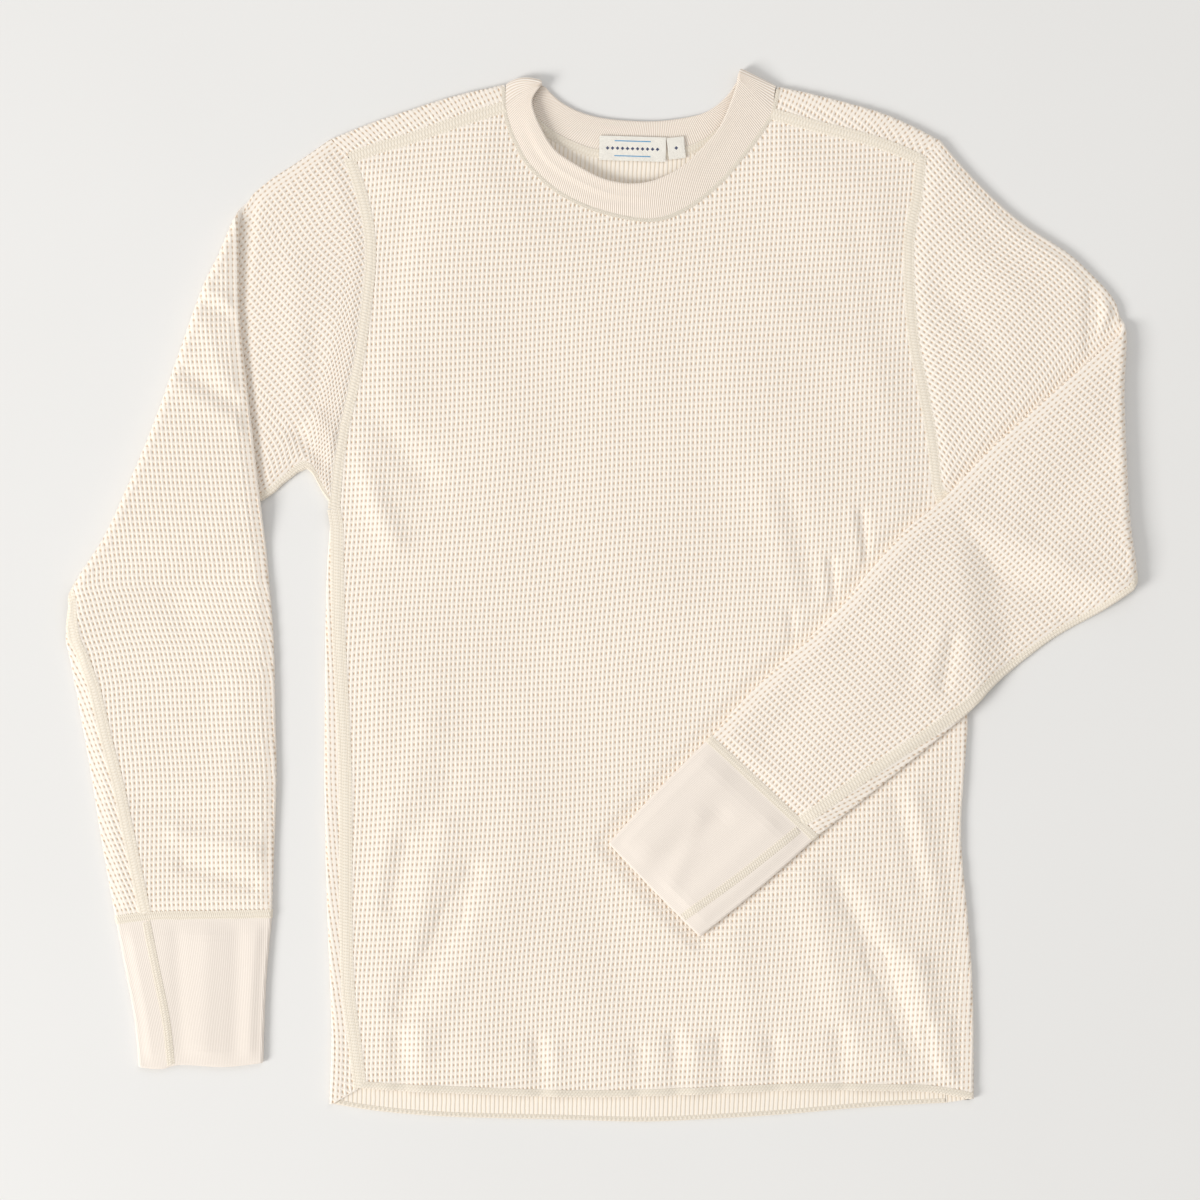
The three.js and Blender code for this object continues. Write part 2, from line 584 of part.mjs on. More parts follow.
// A woven label lying inside the back of the neck
function label({ x, y, wide, deep, turn }) {
  const angle = THREE.MathUtils.degToRad(turn);
  const bottom = WALL + AIR + SEAM_GAP;
  const corner = (u, v, z) => new THREE.Vector3(
    x + (u * wide * Math.cos(angle) - v * deep * Math.sin(angle)) / 2,
    y + (u * wide * Math.sin(angle) + v * deep * Math.cos(angle)) / 2,
    z,
  );
  const sheet = (z) => LABEL_ROWS.map((v) => LABEL_COLUMNS.map((u) => corner(u, v, z)));
  return wall(sheet(bottom + LABEL_THICKNESS), sheet(bottom));
}

const top = new THREE.Group();

function addPiece(name, geometry, finish) {
  const mesh = new THREE.Mesh(geometry, new THREE.MeshStandardMaterial(finish));
  mesh.name = name;
  top.add(mesh);
}

const rightSleeve = sleeve(SLEEVE_RIGHT, armholeRight, shoulderRight, -1, supportRight);
const leftSleeve = sleeve(SLEEVE_LEFT, armholeLeft, shoulderLeft, 1, supportLeft);

addPiece("back", backPanel(), KNIT);
addPiece("front", frontPanel(), KNIT);
addPiece("sleeve_right", rightSleeve.geometry, KNIT);
addPiece("sleeve_left", leftSleeve.geometry, KNIT);
addPiece("cuff_right", cuff(SLEEVE_RIGHT, rightSleeve.end, supportRight), RIB);
addPiece("cuff_left", cuff(SLEEVE_LEFT, leftSleeve.end, supportLeft), RIB);
addPiece("neck_rib", neckRib(), RIB);
addPiece("neck_label", label(NECK_LABEL), SATIN);
addPiece("size_tab", label(SIZE_TAB), SATIN);

export default top;
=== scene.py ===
"""Thermal top in cream waffle knit, laid flat and face up with both sleeves folded forward.

Each piece is cut flat in millimetres, given its thickness and its knit there, and then laid where the
solid of the same name lies. "Right" and "left" are the wearer's. Plan tables hold x, y in millimetres.
"""

import logging
import math
from collections.abc import Sequence
from dataclasses import dataclass, field
from enum import Enum

import bmesh
import bpy
import numpy as np
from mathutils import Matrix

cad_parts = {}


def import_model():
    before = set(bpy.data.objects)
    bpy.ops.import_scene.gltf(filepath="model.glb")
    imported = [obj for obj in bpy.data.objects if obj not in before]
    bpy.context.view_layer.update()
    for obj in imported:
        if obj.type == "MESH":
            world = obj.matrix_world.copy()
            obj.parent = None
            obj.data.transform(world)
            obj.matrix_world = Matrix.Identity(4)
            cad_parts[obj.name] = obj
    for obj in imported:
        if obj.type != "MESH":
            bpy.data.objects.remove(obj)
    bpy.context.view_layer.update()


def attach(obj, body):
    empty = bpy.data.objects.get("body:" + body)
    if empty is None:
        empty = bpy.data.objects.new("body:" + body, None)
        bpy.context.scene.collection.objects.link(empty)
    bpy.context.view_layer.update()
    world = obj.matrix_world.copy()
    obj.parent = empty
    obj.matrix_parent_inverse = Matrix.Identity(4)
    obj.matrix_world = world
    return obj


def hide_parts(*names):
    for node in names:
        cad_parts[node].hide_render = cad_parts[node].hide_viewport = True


MM = 0.001
CHUNK = 6000
SEED = 11

Points = np.ndarray
Table = Sequence[tuple[float, float]]


@dataclass(frozen=True)
class Lie:
    """How the layers of cloth lie on each other, in millimetres."""

    wall: float = 2.0
    air: float = 0.6
    seam_gap: float = 0.3
    rib_rise: float = 4.2
    rib_gap: float = 0.35
    loft: float = 1.9
    sleeve_loft: float = 1.4
    lift_margin: float = 34.0
    hem_lift: float = 0.55
    swell: float = 0.35

    @property
    def low(self) -> float:
        """Middle of the lower layer."""
        return self.wall / 2

    @property
    def high(self) -> float:
        """Middle of the upper layer."""
        return self.low + self.wall + self.air

    @property
    def bend(self) -> float:
        """Radius of the cloth's middle where a panel turns onto itself."""
        return (self.high - self.low) / 2

    @property
    def reach(self) -> float:
        """How far inside the outline such a turn starts."""
        return self.bend + self.wall / 2

    @property
    def half_tube(self) -> float:
        """Half the height of a flattened sleeve."""
        return self.wall + self.air / 2

    @property
    def fold_radius(self) -> float:
        """Radius of the sleeve's middle where it folds over itself."""
        return self.wall + self.air

    @property
    def fold_height(self) -> float:
        """Height of the line that the sleeve folds round."""
        return 2 * self.wall + 1.5 * self.air

    @property
    def top(self) -> float:
        """Top of the upper layer."""
        return self.high + self.wall / 2


@dataclass(frozen=True)
class Hold:
    """Where a sleeve's soft lift dies away, in millimetres, and how low its troughs may reach.

    steep is how far up the cloth has to face before it lifts, first not at all and then fully.
    """

    edge: float = 9.0
    open_end: float = 14.0
    sewn_end: float = 18.0
    steep: tuple[float, float] = (0.6, 0.95)
    cover: tuple[float, float] = (1.0, 9.0)
    dip: float = -0.2


LIE = Lie()
HOLD = Hold()

SIDE_RIGHT_EDGE: Table = (
    (-196.5, -366.5), (-195, -319), (-196, -281.5), (-198.5, -219.5), (-200, -144.5),
    (-200, -87), (-199.5, -29), (-198.5, 14.5), (-196, 50),
)
SIDE_RIGHT_SEAM: Table = (
    (-174, -355), (-178.5, -319), (-183, -281.5), (-184.5, -219.5), (-184.5, -144.5),
    (-186.5, -87), (-189.5, -29), (-190.5, 14.5), (-191, 50),
)
SIDE_LEFT_EDGE: Table = (
    (268, -363), (268, -320.5), (267, -277), (264, -234), (259, -173), (262, -119),
    (263.5, -86.5), (259, -18), (250, 39.5), (244, 74),
)
SIDE_LEFT_SEAM: Table = (
    (247.5, -366), (249, -320.5), (250, -277), (248, -234), (244, -173), (247.5, -119),
    (250, -86.5), (247.5, -18), (241.5, 39.5), (239.5, 74),
)
SHOULDER_RIGHT_EDGE: Table = ((-196, 328.5), (-170, 339), (-144, 348), (-107.5, 359.5), (-70.5, 368))
SHOULDER_RIGHT_SEAM: Table = ((-182, 314.5), (-162.5, 321.5), (-137.5, 329), (-101.5, 341.5), (-70, 351.5))
SHOULDER_LEFT_EDGE: Table = ((244, 327.5), (223, 338.5), (197.5, 349), (155, 360.5), (126.5, 366.5))
SHOULDER_LEFT_SEAM: Table = ((229.5, 313), (213, 320.5), (190, 328.5), (150.5, 338.5), (122.5, 346.5))
ARMHOLE_RIGHT: Table = (
    (-182, 314.5), (-173.5, 289.5), (-168, 263.5), (-167, 240), (-170, 209),
    (-175, 172), (-180.5, 144.5), (-186.5, 119), (-190.5, 90), (-193, 62),
)
ARMHOLE_LEFT: Table = (
    (229.5, 313), (227, 286.5), (222.5, 265.5), (221, 245), (222, 213),
    (225, 181.5), (231, 150), (237, 118), (240, 95), (241.5, 78),
)
HEM_FRONT: Table = (
    (-145.5, -357), (-109.5, -358.5), (-59, -360.5), (-1.5, -361.5),
    (70.5, -359.5), (142.5, -356.5), (200, -357), (236, -358),
)
HEM_BACK: Table = (
    (-160, -372), (-109.5, -376), (-30, -378), (27.5, -379.5),
    (70.5, -378), (128, -374.5), (186, -369.5), (225.5, -367),
)
NECK_FRONT: Table = (
    (-70, 351.5), (-67.5, 340.5), (-62.5, 327.5), (-52, 309.5), (-30, 290), (-1.5, 277),
    (34.5, 270.5), (60, 278.5), (85, 298), (104.5, 321), (115.5, 336), (122.5, 346.5),
)
NECK_BACK: Table = (
    (-68, 362), (-59, 354), (-48, 345), (-34, 333.5), (-15, 324.5), (-1.5, 321),
    (27.5, 319), (56, 322), (74, 329), (90.5, 342.5), (107.5, 355), (122, 361),
)
FREE_FRONT: Table = (
    (-44, 366), (-49.5, 358), (-49.5, 350.5), (-44.5, 337.5), (-34, 320.5), (-15, 307.5), (3, 299),
    (21.5, 296), (39.5, 299), (58.5, 309), (74, 324), (85, 337.5), (93, 356), (98, 371),
)
FREE_BACK: Table = (
    (-40.5, 366), (-36, 361), (-28, 354.5), (-15, 348), (3, 343.5), (30, 341.5),
    (49, 342.5), (70.5, 346.5), (82, 352.5), (91, 361), (97, 370),
)


@dataclass(frozen=True)
class SleevePlan:
    """Plan lines of one sleeve as it lies, and how far its underarm seam has slid inside the edge.

    slide holds pairs of distance from the cuff and distance inside the edge. slip is how far the cloth
    moves along the fold while it goes over it.
    """

    top: Table
    under: Table
    fold: Table
    inner: Table
    outer: Table
    cuff_seam: Table
    cuff_inner: Table
    cuff_outer: Table
    cuff_end: Table
    slide: Table
    cuff_slide: Table
    slip: float

    def forearm(self) -> Points:
        """Returns the outline of the forearm and its cuff."""
        far = [*self.outer, self.cuff_seam[-1], *self.cuff_outer]
        near = [self.fold[0], *self.inner, self.cuff_seam[0], *self.cuff_inner]
        return np.array([*near, *self.cuff_end, *far[::-1], self.fold[-1]], float)


RIGHT_PLAN = SleevePlan(
    top=((-221, 311), (-236, 300.5), (-248.5, 289.5)),
    under=((-202, 74), (-213, 91), (-229.5, 81.5), (-246, 68.5), (-318, 29)),
    fold=(
        (-253.5, 286), (-265, 272), (-276.5, 245.5), (-288.5, 220.5), (-304, 177), (-324, 121.5),
        (-342, 78.5), (-359.5, 41), (-377.5, 13), (-386.8, -7),
    ),
    inner=(
        (-261.5, 205), (-256.5, 154), (-252, 116.5), (-246, 66), (-242, 28), (-237, -29),
        (-235.5, -87), (-234.5, -129.5), (-236, -180.5),
    ),
    outer=((-385, -32.5), (-382.5, -47), (-375, -87), (-367, -134.5), (-360, -180.5)),
    cuff_seam=((-237.5, -229.5), (-283.5, -230.5), (-322, -231), (-350.5, -234)),
    cuff_inner=((-242, -281.5),),
    cuff_outer=((-344, -268.5), (-337, -306.5)),
    cuff_end=((-244, -337), (-272, -340), (-303, -338.5), (-318, -341.5), (-334, -340)),
    slide=((0, 24), (55, 22.5), (95, 20.5), (128, 17.5), (168, 15.5), (192, 11.5), (222, 5), (240, 2)),
    cuff_slide=((0, 26), (110, 24)),
    slip=21.0,
)
LEFT_PLAN = SleevePlan(
    top=(
        (260.5, 308), (281.5, 286.5), (303, 268), (335, 247), (353.5, 229.5), (362, 220.5), (369, 210.5),
    ),
    under=((249.5, 69), (286.5, 53.5), (337, 28)),
    fold=((373.5, 204), (376.5, 195), (378, 182), (376.5, 139), (380, 61), (384.5, 25), (386, 3.5)),
    inner=(
        (353.5, 170.5), (324, 145.5), (281.5, 107.5), (245.5, 69), (214.5, 43), (164, -16), (114, -62.5),
    ),
    outer=((358.5, -12), (322.5, -32.5), (286.5, -61), (261.5, -86.5), (214.5, -126)),
    cuff_seam=((76.5, -103), (115, -139), (153.5, -175)),
    cuff_inner=((39.5, -140.5),),
    cuff_outer=((111.5, -212.5),),
    cuff_end=((4.5, -178.5), (38, -213.5), (70.5, -246)),
    slide=((0, 18), (60, 15), (110, 10), (160, 5), (210, 2)),
    cuff_slide=((0, 21), (104, 15)),
    slip=16.0,
)


@dataclass(frozen=True)
class Crease:
    """A soft ridge, or a trough where high is negative, along a line in the plan."""

    start: tuple[float, float]
    end: tuple[float, float]
    wide: float
    high: float


def creases(*rows: Sequence[float]) -> tuple[Crease, ...]:
    """Reads creases from rows of the start's x and y, the end's x and y, the width and the height."""
    return tuple(Crease((x0, y0), (x1, y1), wide, high) for x0, y0, x1, y1, wide, high in rows)


BODY_FOLDS = creases(
    (170, -208, 198, -262, 8, -2.0), (198, -262, 231, -345, 8, -2.6), (196, -222, 226, -268, 10, 0.9),
    (226, -268, 247, -345, 10, 2.0), (210, -140, 230, -210, 8, -1.2), (226, -150, 248, -232, 9, 1.5),
    (234, -312, 240, -350, 5, -1.8), (249, -306, 253, -348, 4, 1.6), (150, -225, 190, -330, 14, 0.7),
    (-94, -200, -108, -232, 8, -2.4), (-108, -232, -144, -296, 9, -2.4), (-142, -180, -152, -222, 8, -1.7),
    (-110, -130, -124, -186, 10, -1.2), (-116, -165, -134, -250, 9, 1.5), (-126, -95, -166, -220, 12, 1.2),
    (-92, -250, -130, -330, 10, 1.0), (-166, 132, -128, 84, 12, -1.7), (-178, 98, -150, 40, 10, 2.4),
    (118, 76, 138, 8, 11, 0.8), (134, 70, 152, 6, 9, -0.9), (180, 60, 185, 28, 6, 0.5),
    (187, 58, 191, 24, 4, -1.9), (159, 26, 162, -2, 6, 0.5), (165, 24, 168, -6, 4, -1.8),
    (136, -14, 138, -38, 4, -1.2),
)
BODY_RIPPLES = creases(
    (-147, -318, -144, -358, 7, -1.9), (-131, -310, -128, -358, 9, 1.3), (-46, -322, -44, -361, 6, -1.8),
    (-34, -330, -32, -361, 7, 1.1), (26, -328, 27, -361, 6, -1.5), (52, -318, 54, -360, 6, -1.8),
    (67, -326, 68, -360, 6, 1.2), (85, -320, 87, -359, 6, -1.9), (123, -322, 126, -357, 7, -1.7),
    (171, -316, 174, -357, 7, -1.8), (-120, -60, -112, -190, 15, 0.7), (-60, -150, -92, -330, 16, 0.6),
    (0, -210, 22, -330, 20, -0.7), (60, 190, 84, 60, 22, -0.7), (-120, 240, -70, 110, 24, 0.7),
    (-30, 150, -44, -40, 26, -0.6), (110, 230, 190, 160, 20, 0.8), (-140, 280, -160, 210, 12, -1.0),
    (186, 262, 206, 190, 12, -0.9), (150, -205, 172, -300, 13, 0.9), (96, -250, 110, -330, 12, 0.8),
)
SLEEVE_FOLDS_RIGHT = creases(
    (-294, 224, -264, 208, 6, 1.1), (-290, 212, -260, 198, 6, -1.5), (-284, 192, -270, 150, 7, 1.0),
    (-310, 168, -266, 140, 7, -1.5), (-300, 148, -262, 122, 8, 1.1), (-352, 60, -316, 10, 12, 0.8),
    (-338, 40, -300, -16, 12, -0.9), (-262, -60, -268, -180, 14, 0.8), (-300, -194, -252, -208, 6, -1.9),
    (-306, -172, -250, -184, 7, 1.5), (-330, -150, -262, -158, 9, -0.8), (-222, 236, -214, 150, 12, 0.7),
    (-206, 190, -206, 140, 9, -0.8), (-218, 116, -202, 96, 6, -1.5), (-204, 128, -190, 104, 6, 1.0),
)
SLEEVE_FOLDS_LEFT = creases(
    (367, 214, 365, 188, 7, 1.8), (355, 222, 353, 178, 6, -2.4), (252, -34, 246, -66, 5, -1.4),
    (244, -26, 232, -60, 7, 1.1), (350, 132, 300, 84, 13, 0.8), (356, 96, 316, 50, 12, -0.9),
    (330, 20, 262, -38, 13, 0.9), (250, 40, 180, -30, 14, -0.7), (206, -60, 150, -112, 13, 0.8),
    (146, -74, 118, -104, 9, -0.8), (252, 262, 300, 214, 13, 0.7), (246, 220, 280, 176, 10, -0.8),
)
CUFF_FOLDS_RIGHT = creases(
    (-262, -236, -264, -338, 7, -0.9), (-284, -236, -286, -338, 9, 0.9), (-306, -236, -303, -338, 6, -0.7),
)
CUFF_FOLDS_LEFT = creases(
    (96, -122, 34, -178, 9, 0.9), (84, -160, 26, -204, 8, -1.2), (70, -160, 48, -214, 7, 0.8),
    (120, -166, 60, -222, 8, 0.9),
)

FOREARM_CLEAR = (1.5, 13.0)
DRAPE_START = 3.0
DRAPE_RUN = 36.0
SUPPORT_LEFT = ((238, 76), (386, 3.5), (247, 50), (264, -87))
HEM_FREE = ((-168, -150), (214, 236))
ARM_LEFT_ENDS = ((0.6, 2.6), (4.2, -13.5))
SIDE_SPARE, SHOULDER_SPARE = (25, 12), (4, 4)
SIDE_STEPS, SHOULDER_STEPS, ARM_STEPS, NECK_STEPS, HEM_STEPS = 96, 40, 70, 84, 90
FOLD_STEPS, FOREARM_STEPS, SHORT_STEPS = 13, 80, 30
CAP_SPARE, CAP_ROUNDS, CORNER_ROUNDS = 16, 24, 12
EDGE_REACH, WIDTH_REACH = 5, 12
CAP_POINTS, SEAM_POINTS = 160, 90
PAD_LEAST, PAD_SHARE, RIM_MERGE, CREST_DEPTH = 6.0, 0.09, 0.35, 0.1
RIM_ROUNDS = (1.0, 0.92, 0.66, 0.3)
FIBRES = 2600.0


def smoothstep(value: Points, start: float, end: float) -> Points:
    """Returns 0 before start, 1 after end and an even curve between them."""
    share = np.clip((np.asarray(value, float) - start) / (end - start), 0, 1)
    return share * share * (3 - 2 * share)


def smooth_line(points: Table | Points, steps: int) -> Points:
    """Draws a smooth line through a few points.

    Args:
        points: The points that the line goes through.
        steps: How many equal steps the line is divided into.

    Returns:
        steps + 1 points along the line.
    """
    given = np.asarray(points, float)
    last = len(given) - 1
    share = np.linspace(0, last, 401)
    index = np.minimum(np.floor(share).astype(int), last)
    t = (share - index)[:, None]
    before, here = given[np.maximum(index - 1, 0)], given[index]
    after = given[np.minimum(index + 1, last)]
    beyond = given[np.minimum(index + 2, last)]
    leave, arrive = (after - before) / 2, (beyond - here) / 2
    fine = (
        (2 * here - 2 * after + leave + arrive) * t**3
        + (-3 * here + 3 * after - 2 * leave - arrive) * t**2
        + leave * t
        + here
    )
    return even_line(fine, steps)


def even_line(line: Points, steps: int) -> Points:
    """Divides a line into equal steps.

    Args:
        line: Points along the line.
        steps: How many steps it gets.

    Returns:
        steps + 1 points, in as many dimensions as the line has.
    """
    run = run_of(line)
    wanted = np.linspace(0, run[-1], steps + 1)
    return np.stack([np.interp(wanted, run, axis) for axis in line.T], 1)


def run_of(line: Points) -> Points:
    """Returns the distance along a line at each of its points."""
    return np.concatenate([[0], np.cumsum(np.linalg.norm(np.diff(line, axis=0), axis=1))])


def beside(line: Points, distance: float) -> Points:
    """Moves a line sideways, to its left where the distance is positive.

    Args:
        line: Points in the plan.
        distance: How far it moves, in millimetres.

    Returns:
        The moved line.
    """
    along = np.gradient(line, axis=0)
    along /= np.linalg.norm(along, axis=1)[:, None]
    return line + distance * np.stack([-along[:, 1], along[:, 0]], 1)


def coons(bottom: Points, top: Points, left: Points, right: Points) -> Points:
    """Fills the space between four boundary lines.

    Args:
        bottom: The first row.
        top: The last row.
        left: The first column.
        right: The last column.

    Returns:
        Rows of points in the plan.
    """
    v = np.linspace(0, 1, len(left))[:, None, None]
    u = np.linspace(0, 1, len(bottom))[None, :, None]
    return (
        (1 - v) * bottom[None] + v * top[None] + (1 - u) * left[:, None] + u * right[:, None]
        - (1 - v) * ((1 - u) * bottom[0] + u * bottom[-1])
        - v * ((1 - u) * top[0] + u * top[-1])
    )


def wave(first: Points, second: Points, length: float, bent: float, bent_length: float) -> Points:
    """Returns a soft wave from -1 to 1 along the first direction, bent by a wave along the second."""
    return np.sin(first / length + bent * np.sin(second / bent_length))


def averaged(values: Points, reach: int) -> Points:
    """Returns a moving average over reach values on either side, with the ends held."""
    held = np.pad(values, reach, mode="edge")
    return np.convolve(held, np.ones(2 * reach + 1) / (2 * reach + 1), mode="valid")


def nearest(points: Points, line: Points) -> tuple[Points, Points, Points]:
    """Finds the nearest place on a line for each point.

    Args:
        points: Points in the plan.
        line: The line's own points.

    Returns:
        The distances, the places on the line, and the line's directions there.
    """
    start, step = line[:-1], np.diff(line, axis=0)
    length = np.linalg.norm(step, axis=1)
    start, step, length = start[length > 0], step[length > 0], length[length > 0]
    away, foot, along = [], [], []
    for first in range(0, len(points), CHUNK):
        part = points[first : first + CHUNK]
        share = np.einsum("nij,ij->ni", part[:, None] - start, step) / length**2
        place = start + np.clip(share, 0, 1)[..., None] * step
        gap = np.linalg.norm(part[:, None] - place, axis=2)
        best = gap.argmin(1)
        rows = np.arange(len(part))
        away.append(gap[rows, best])
        foot.append(place[rows, best])
        along.append(step[best] / length[best][:, None])
    return np.concatenate(away), np.concatenate(foot), np.concatenate(along)


def within(points: Points, loop: Points) -> Points:
    """Tells which points lie inside a closed loop.

    Args:
        points: Points in the plan.
        loop: The loop's corners, in order.

    Returns:
        True for each point inside.
    """
    inside = np.zeros(len(points), bool)
    for (x0, y0), (x1, y1) in zip(loop, np.roll(loop, -1, axis=0)):
        if y0 != y1:
            crossing = (points[:, 1] > min(y0, y1)) & (points[:, 1] <= max(y0, y1))
            inside ^= crossing & (points[:, 0] < x0 + (points[:, 1] - y0) * (x1 - x0) / (y1 - y0))
    return inside


def crease_height(plan: Points, creases: Sequence[Crease]) -> Points:
    """Adds up soft ridges and troughs.

    Args:
        plan: Points in the plan.
        creases: The ridges and troughs.

    Returns:
        The height at each point, in millimetres.
    """
    high = np.zeros(len(plan))
    for crease in creases:
        away, _, _ = nearest(plan, np.array([crease.start, crease.end], float))
        high += crease.high * np.exp(-((away / crease.wide) ** 2))
    return high


def beyond(plan: Points, start: tuple[float, float], end: tuple[float, float], side: float) -> Points:
    """Measures how far points lie past a straight line.

    Args:
        plan: Points in the plan.
        start: One point of the line.
        end: Another.
        side: 1 where the line's left counts as past it, and -1 where its right does.

    Returns:
        Each point's signed distance.
    """
    along = np.subtract(end, start)
    out = plan - np.asarray(start, float)
    return side * (along[0] * out[:, 1] - along[1] * out[:, 0]) / np.hypot(*along)


SIDE_RIGHT = (smooth_line(SIDE_RIGHT_EDGE, SIDE_STEPS), smooth_line(SIDE_RIGHT_SEAM, SIDE_STEPS))
SIDE_LEFT = (smooth_line(SIDE_LEFT_EDGE, SIDE_STEPS), smooth_line(SIDE_LEFT_SEAM, SIDE_STEPS))
SHOULDER_RIGHT = (
    smooth_line(SHOULDER_RIGHT_EDGE, SHOULDER_STEPS),
    smooth_line(SHOULDER_RIGHT_SEAM, SHOULDER_STEPS),
)
SHOULDER_LEFT = (
    smooth_line(SHOULDER_LEFT_EDGE, SHOULDER_STEPS),
    smooth_line(SHOULDER_LEFT_SEAM, SHOULDER_STEPS),
)
ARM_RIGHT = smooth_line(ARMHOLE_RIGHT, ARM_STEPS)
ARM_LEFT = smooth_line(ARMHOLE_LEFT, ARM_STEPS)
NECK_LOW = smooth_line(NECK_FRONT, NECK_STEPS)
NECK_HIGH = smooth_line(NECK_BACK, NECK_STEPS)


class Side(Enum):
    """Which of the wearer's sides a piece belongs to."""

    RIGHT = "right"
    LEFT = "left"

    @property
    def outward(self) -> float:
        """The direction away from the body along X."""
        return -1.0 if self is Side.RIGHT else 1.0

    @property
    def plan(self) -> SleevePlan:
        """The sleeve's plan lines."""
        return RIGHT_PLAN if self is Side.RIGHT else LEFT_PLAN

    @property
    def armhole(self) -> Points:
        """The armhole seam, from the shoulder fold down to the armpit."""
        edge, line = (SHOULDER_RIGHT[0], ARM_RIGHT) if self is Side.RIGHT else (SHOULDER_LEFT[0], ARM_LEFT)
        return np.vstack([edge[:1], line])

    def held_up(self, plan: Points) -> Points:
        """Tells how much of the forearm is held up by the cloth under it.

        Args:
            plan: Points in the plan.

        Returns:
            1 where the forearm lies on other cloth and 0 where it lies on the surface.
        """
        if self is Side.RIGHT:
            past = beyond(plan, RIGHT_PLAN.under[2], RIGHT_PLAN.fold[-1], 1)
        else:
            below, foot, armpit, hip = SUPPORT_LEFT
            past = np.minimum(beyond(plan, below, foot, -1), beyond(plan, armpit, hip, 1))
        return 1 - smoothstep(past, DRAPE_START, DRAPE_START + DRAPE_RUN)


class Lay:
    """A way of laying flat cloth.

    A piece's height over its own middle goes along the cloth's outer side.
    """

    def place(self, flat: Points) -> Points:
        """Lays points of a flat piece.

        Args:
            flat: Points across, along and over the middle of the flat cloth.

        Returns:
            The points as laid, in millimetres.
        """
        raise NotImplementedError

    def bends(self, plan: Points) -> Points:
        """Returns True for points of the flat cloth that lie in or near a tight bend."""
        return np.zeros(len(plan), bool)

    def tight(self, plan: Points) -> Points:
        """Returns True for points of the flat cloth that lie in a tight bend."""
        return np.zeros(len(plan), bool)


@dataclass
class LevelLay(Lay):
    """Cloth that lies level, with its middle at one height."""

    middle: float

    def place(self, flat: Points) -> Points:
        """Lays points level."""
        return flat + np.array([0, 0, self.middle])


@dataclass
class Turn:
    """A line over which a panel turns onto itself.

    outline is the fold's outer edge in the plan, and side is 1 where outwards is to the line's left.
    """

    outline: Points
    side: float
    spare: tuple[float, float] = (25.0, 25.0)
    start: Points = field(init=False)

    def __post_init__(self) -> None:
        """Works out where the turn starts, with a spare length at each end."""
        line = beside(self.outline, -self.side * LIE.reach)
        first, last = line[0] - line[1], line[-1] - line[-2]
        head = line[0] + first / np.linalg.norm(first) * self.spare[0]
        tail = line[-1] + last / np.linalg.norm(last) * self.spare[1]
        self.start = np.vstack([head, line, tail])

    def past(self, plan: Points) -> tuple[Points, Points, Points]:
        """Measures how far points lie past the start of the turn.

        Args:
            plan: Points of the flat cloth.

        Returns:
            The signed distances, the places on the turn's start, and the outward directions there.
        """
        away, foot, along = nearest(plan, self.start)
        outward = self.side * np.stack([-along[:, 1], along[:, 0]], 1)
        inside = np.einsum("ij,ij->i", plan - foot, outward) <= 0
        for end in (self.start[0], self.start[-1]):
            inside |= np.linalg.norm(foot - end, axis=1) < 1e-6
        return np.where(inside, -away, away), foot, outward

    def strip(self, seam: Points) -> Points:
        """Draws the far side of the turned strip on the flat cloth.

        Args:
            seam: The seam that ends the strip, from the same end as the fold's outline.

        Returns:
            The strip's outline, from where the turn starts at one end to where it starts at the other.
        """
        _, foot, outward = self.past(seam)
        away = np.linalg.norm(seam - foot, axis=1)
        unrolled = foot + outward * (math.pi * LIE.bend + away)[:, None]
        ends = self.start[[1, -2]]
        along = self.start[[2, -2]] - self.start[[1, -3]]
        along /= np.linalg.norm(along, axis=1)[:, None]
        rolled = ends + self.side * math.pi * LIE.bend * np.stack([-along[:, 1], along[:, 0]], 1)
        return np.vstack([ends[0], rolled[0], unrolled, rolled[1], ends[1]])


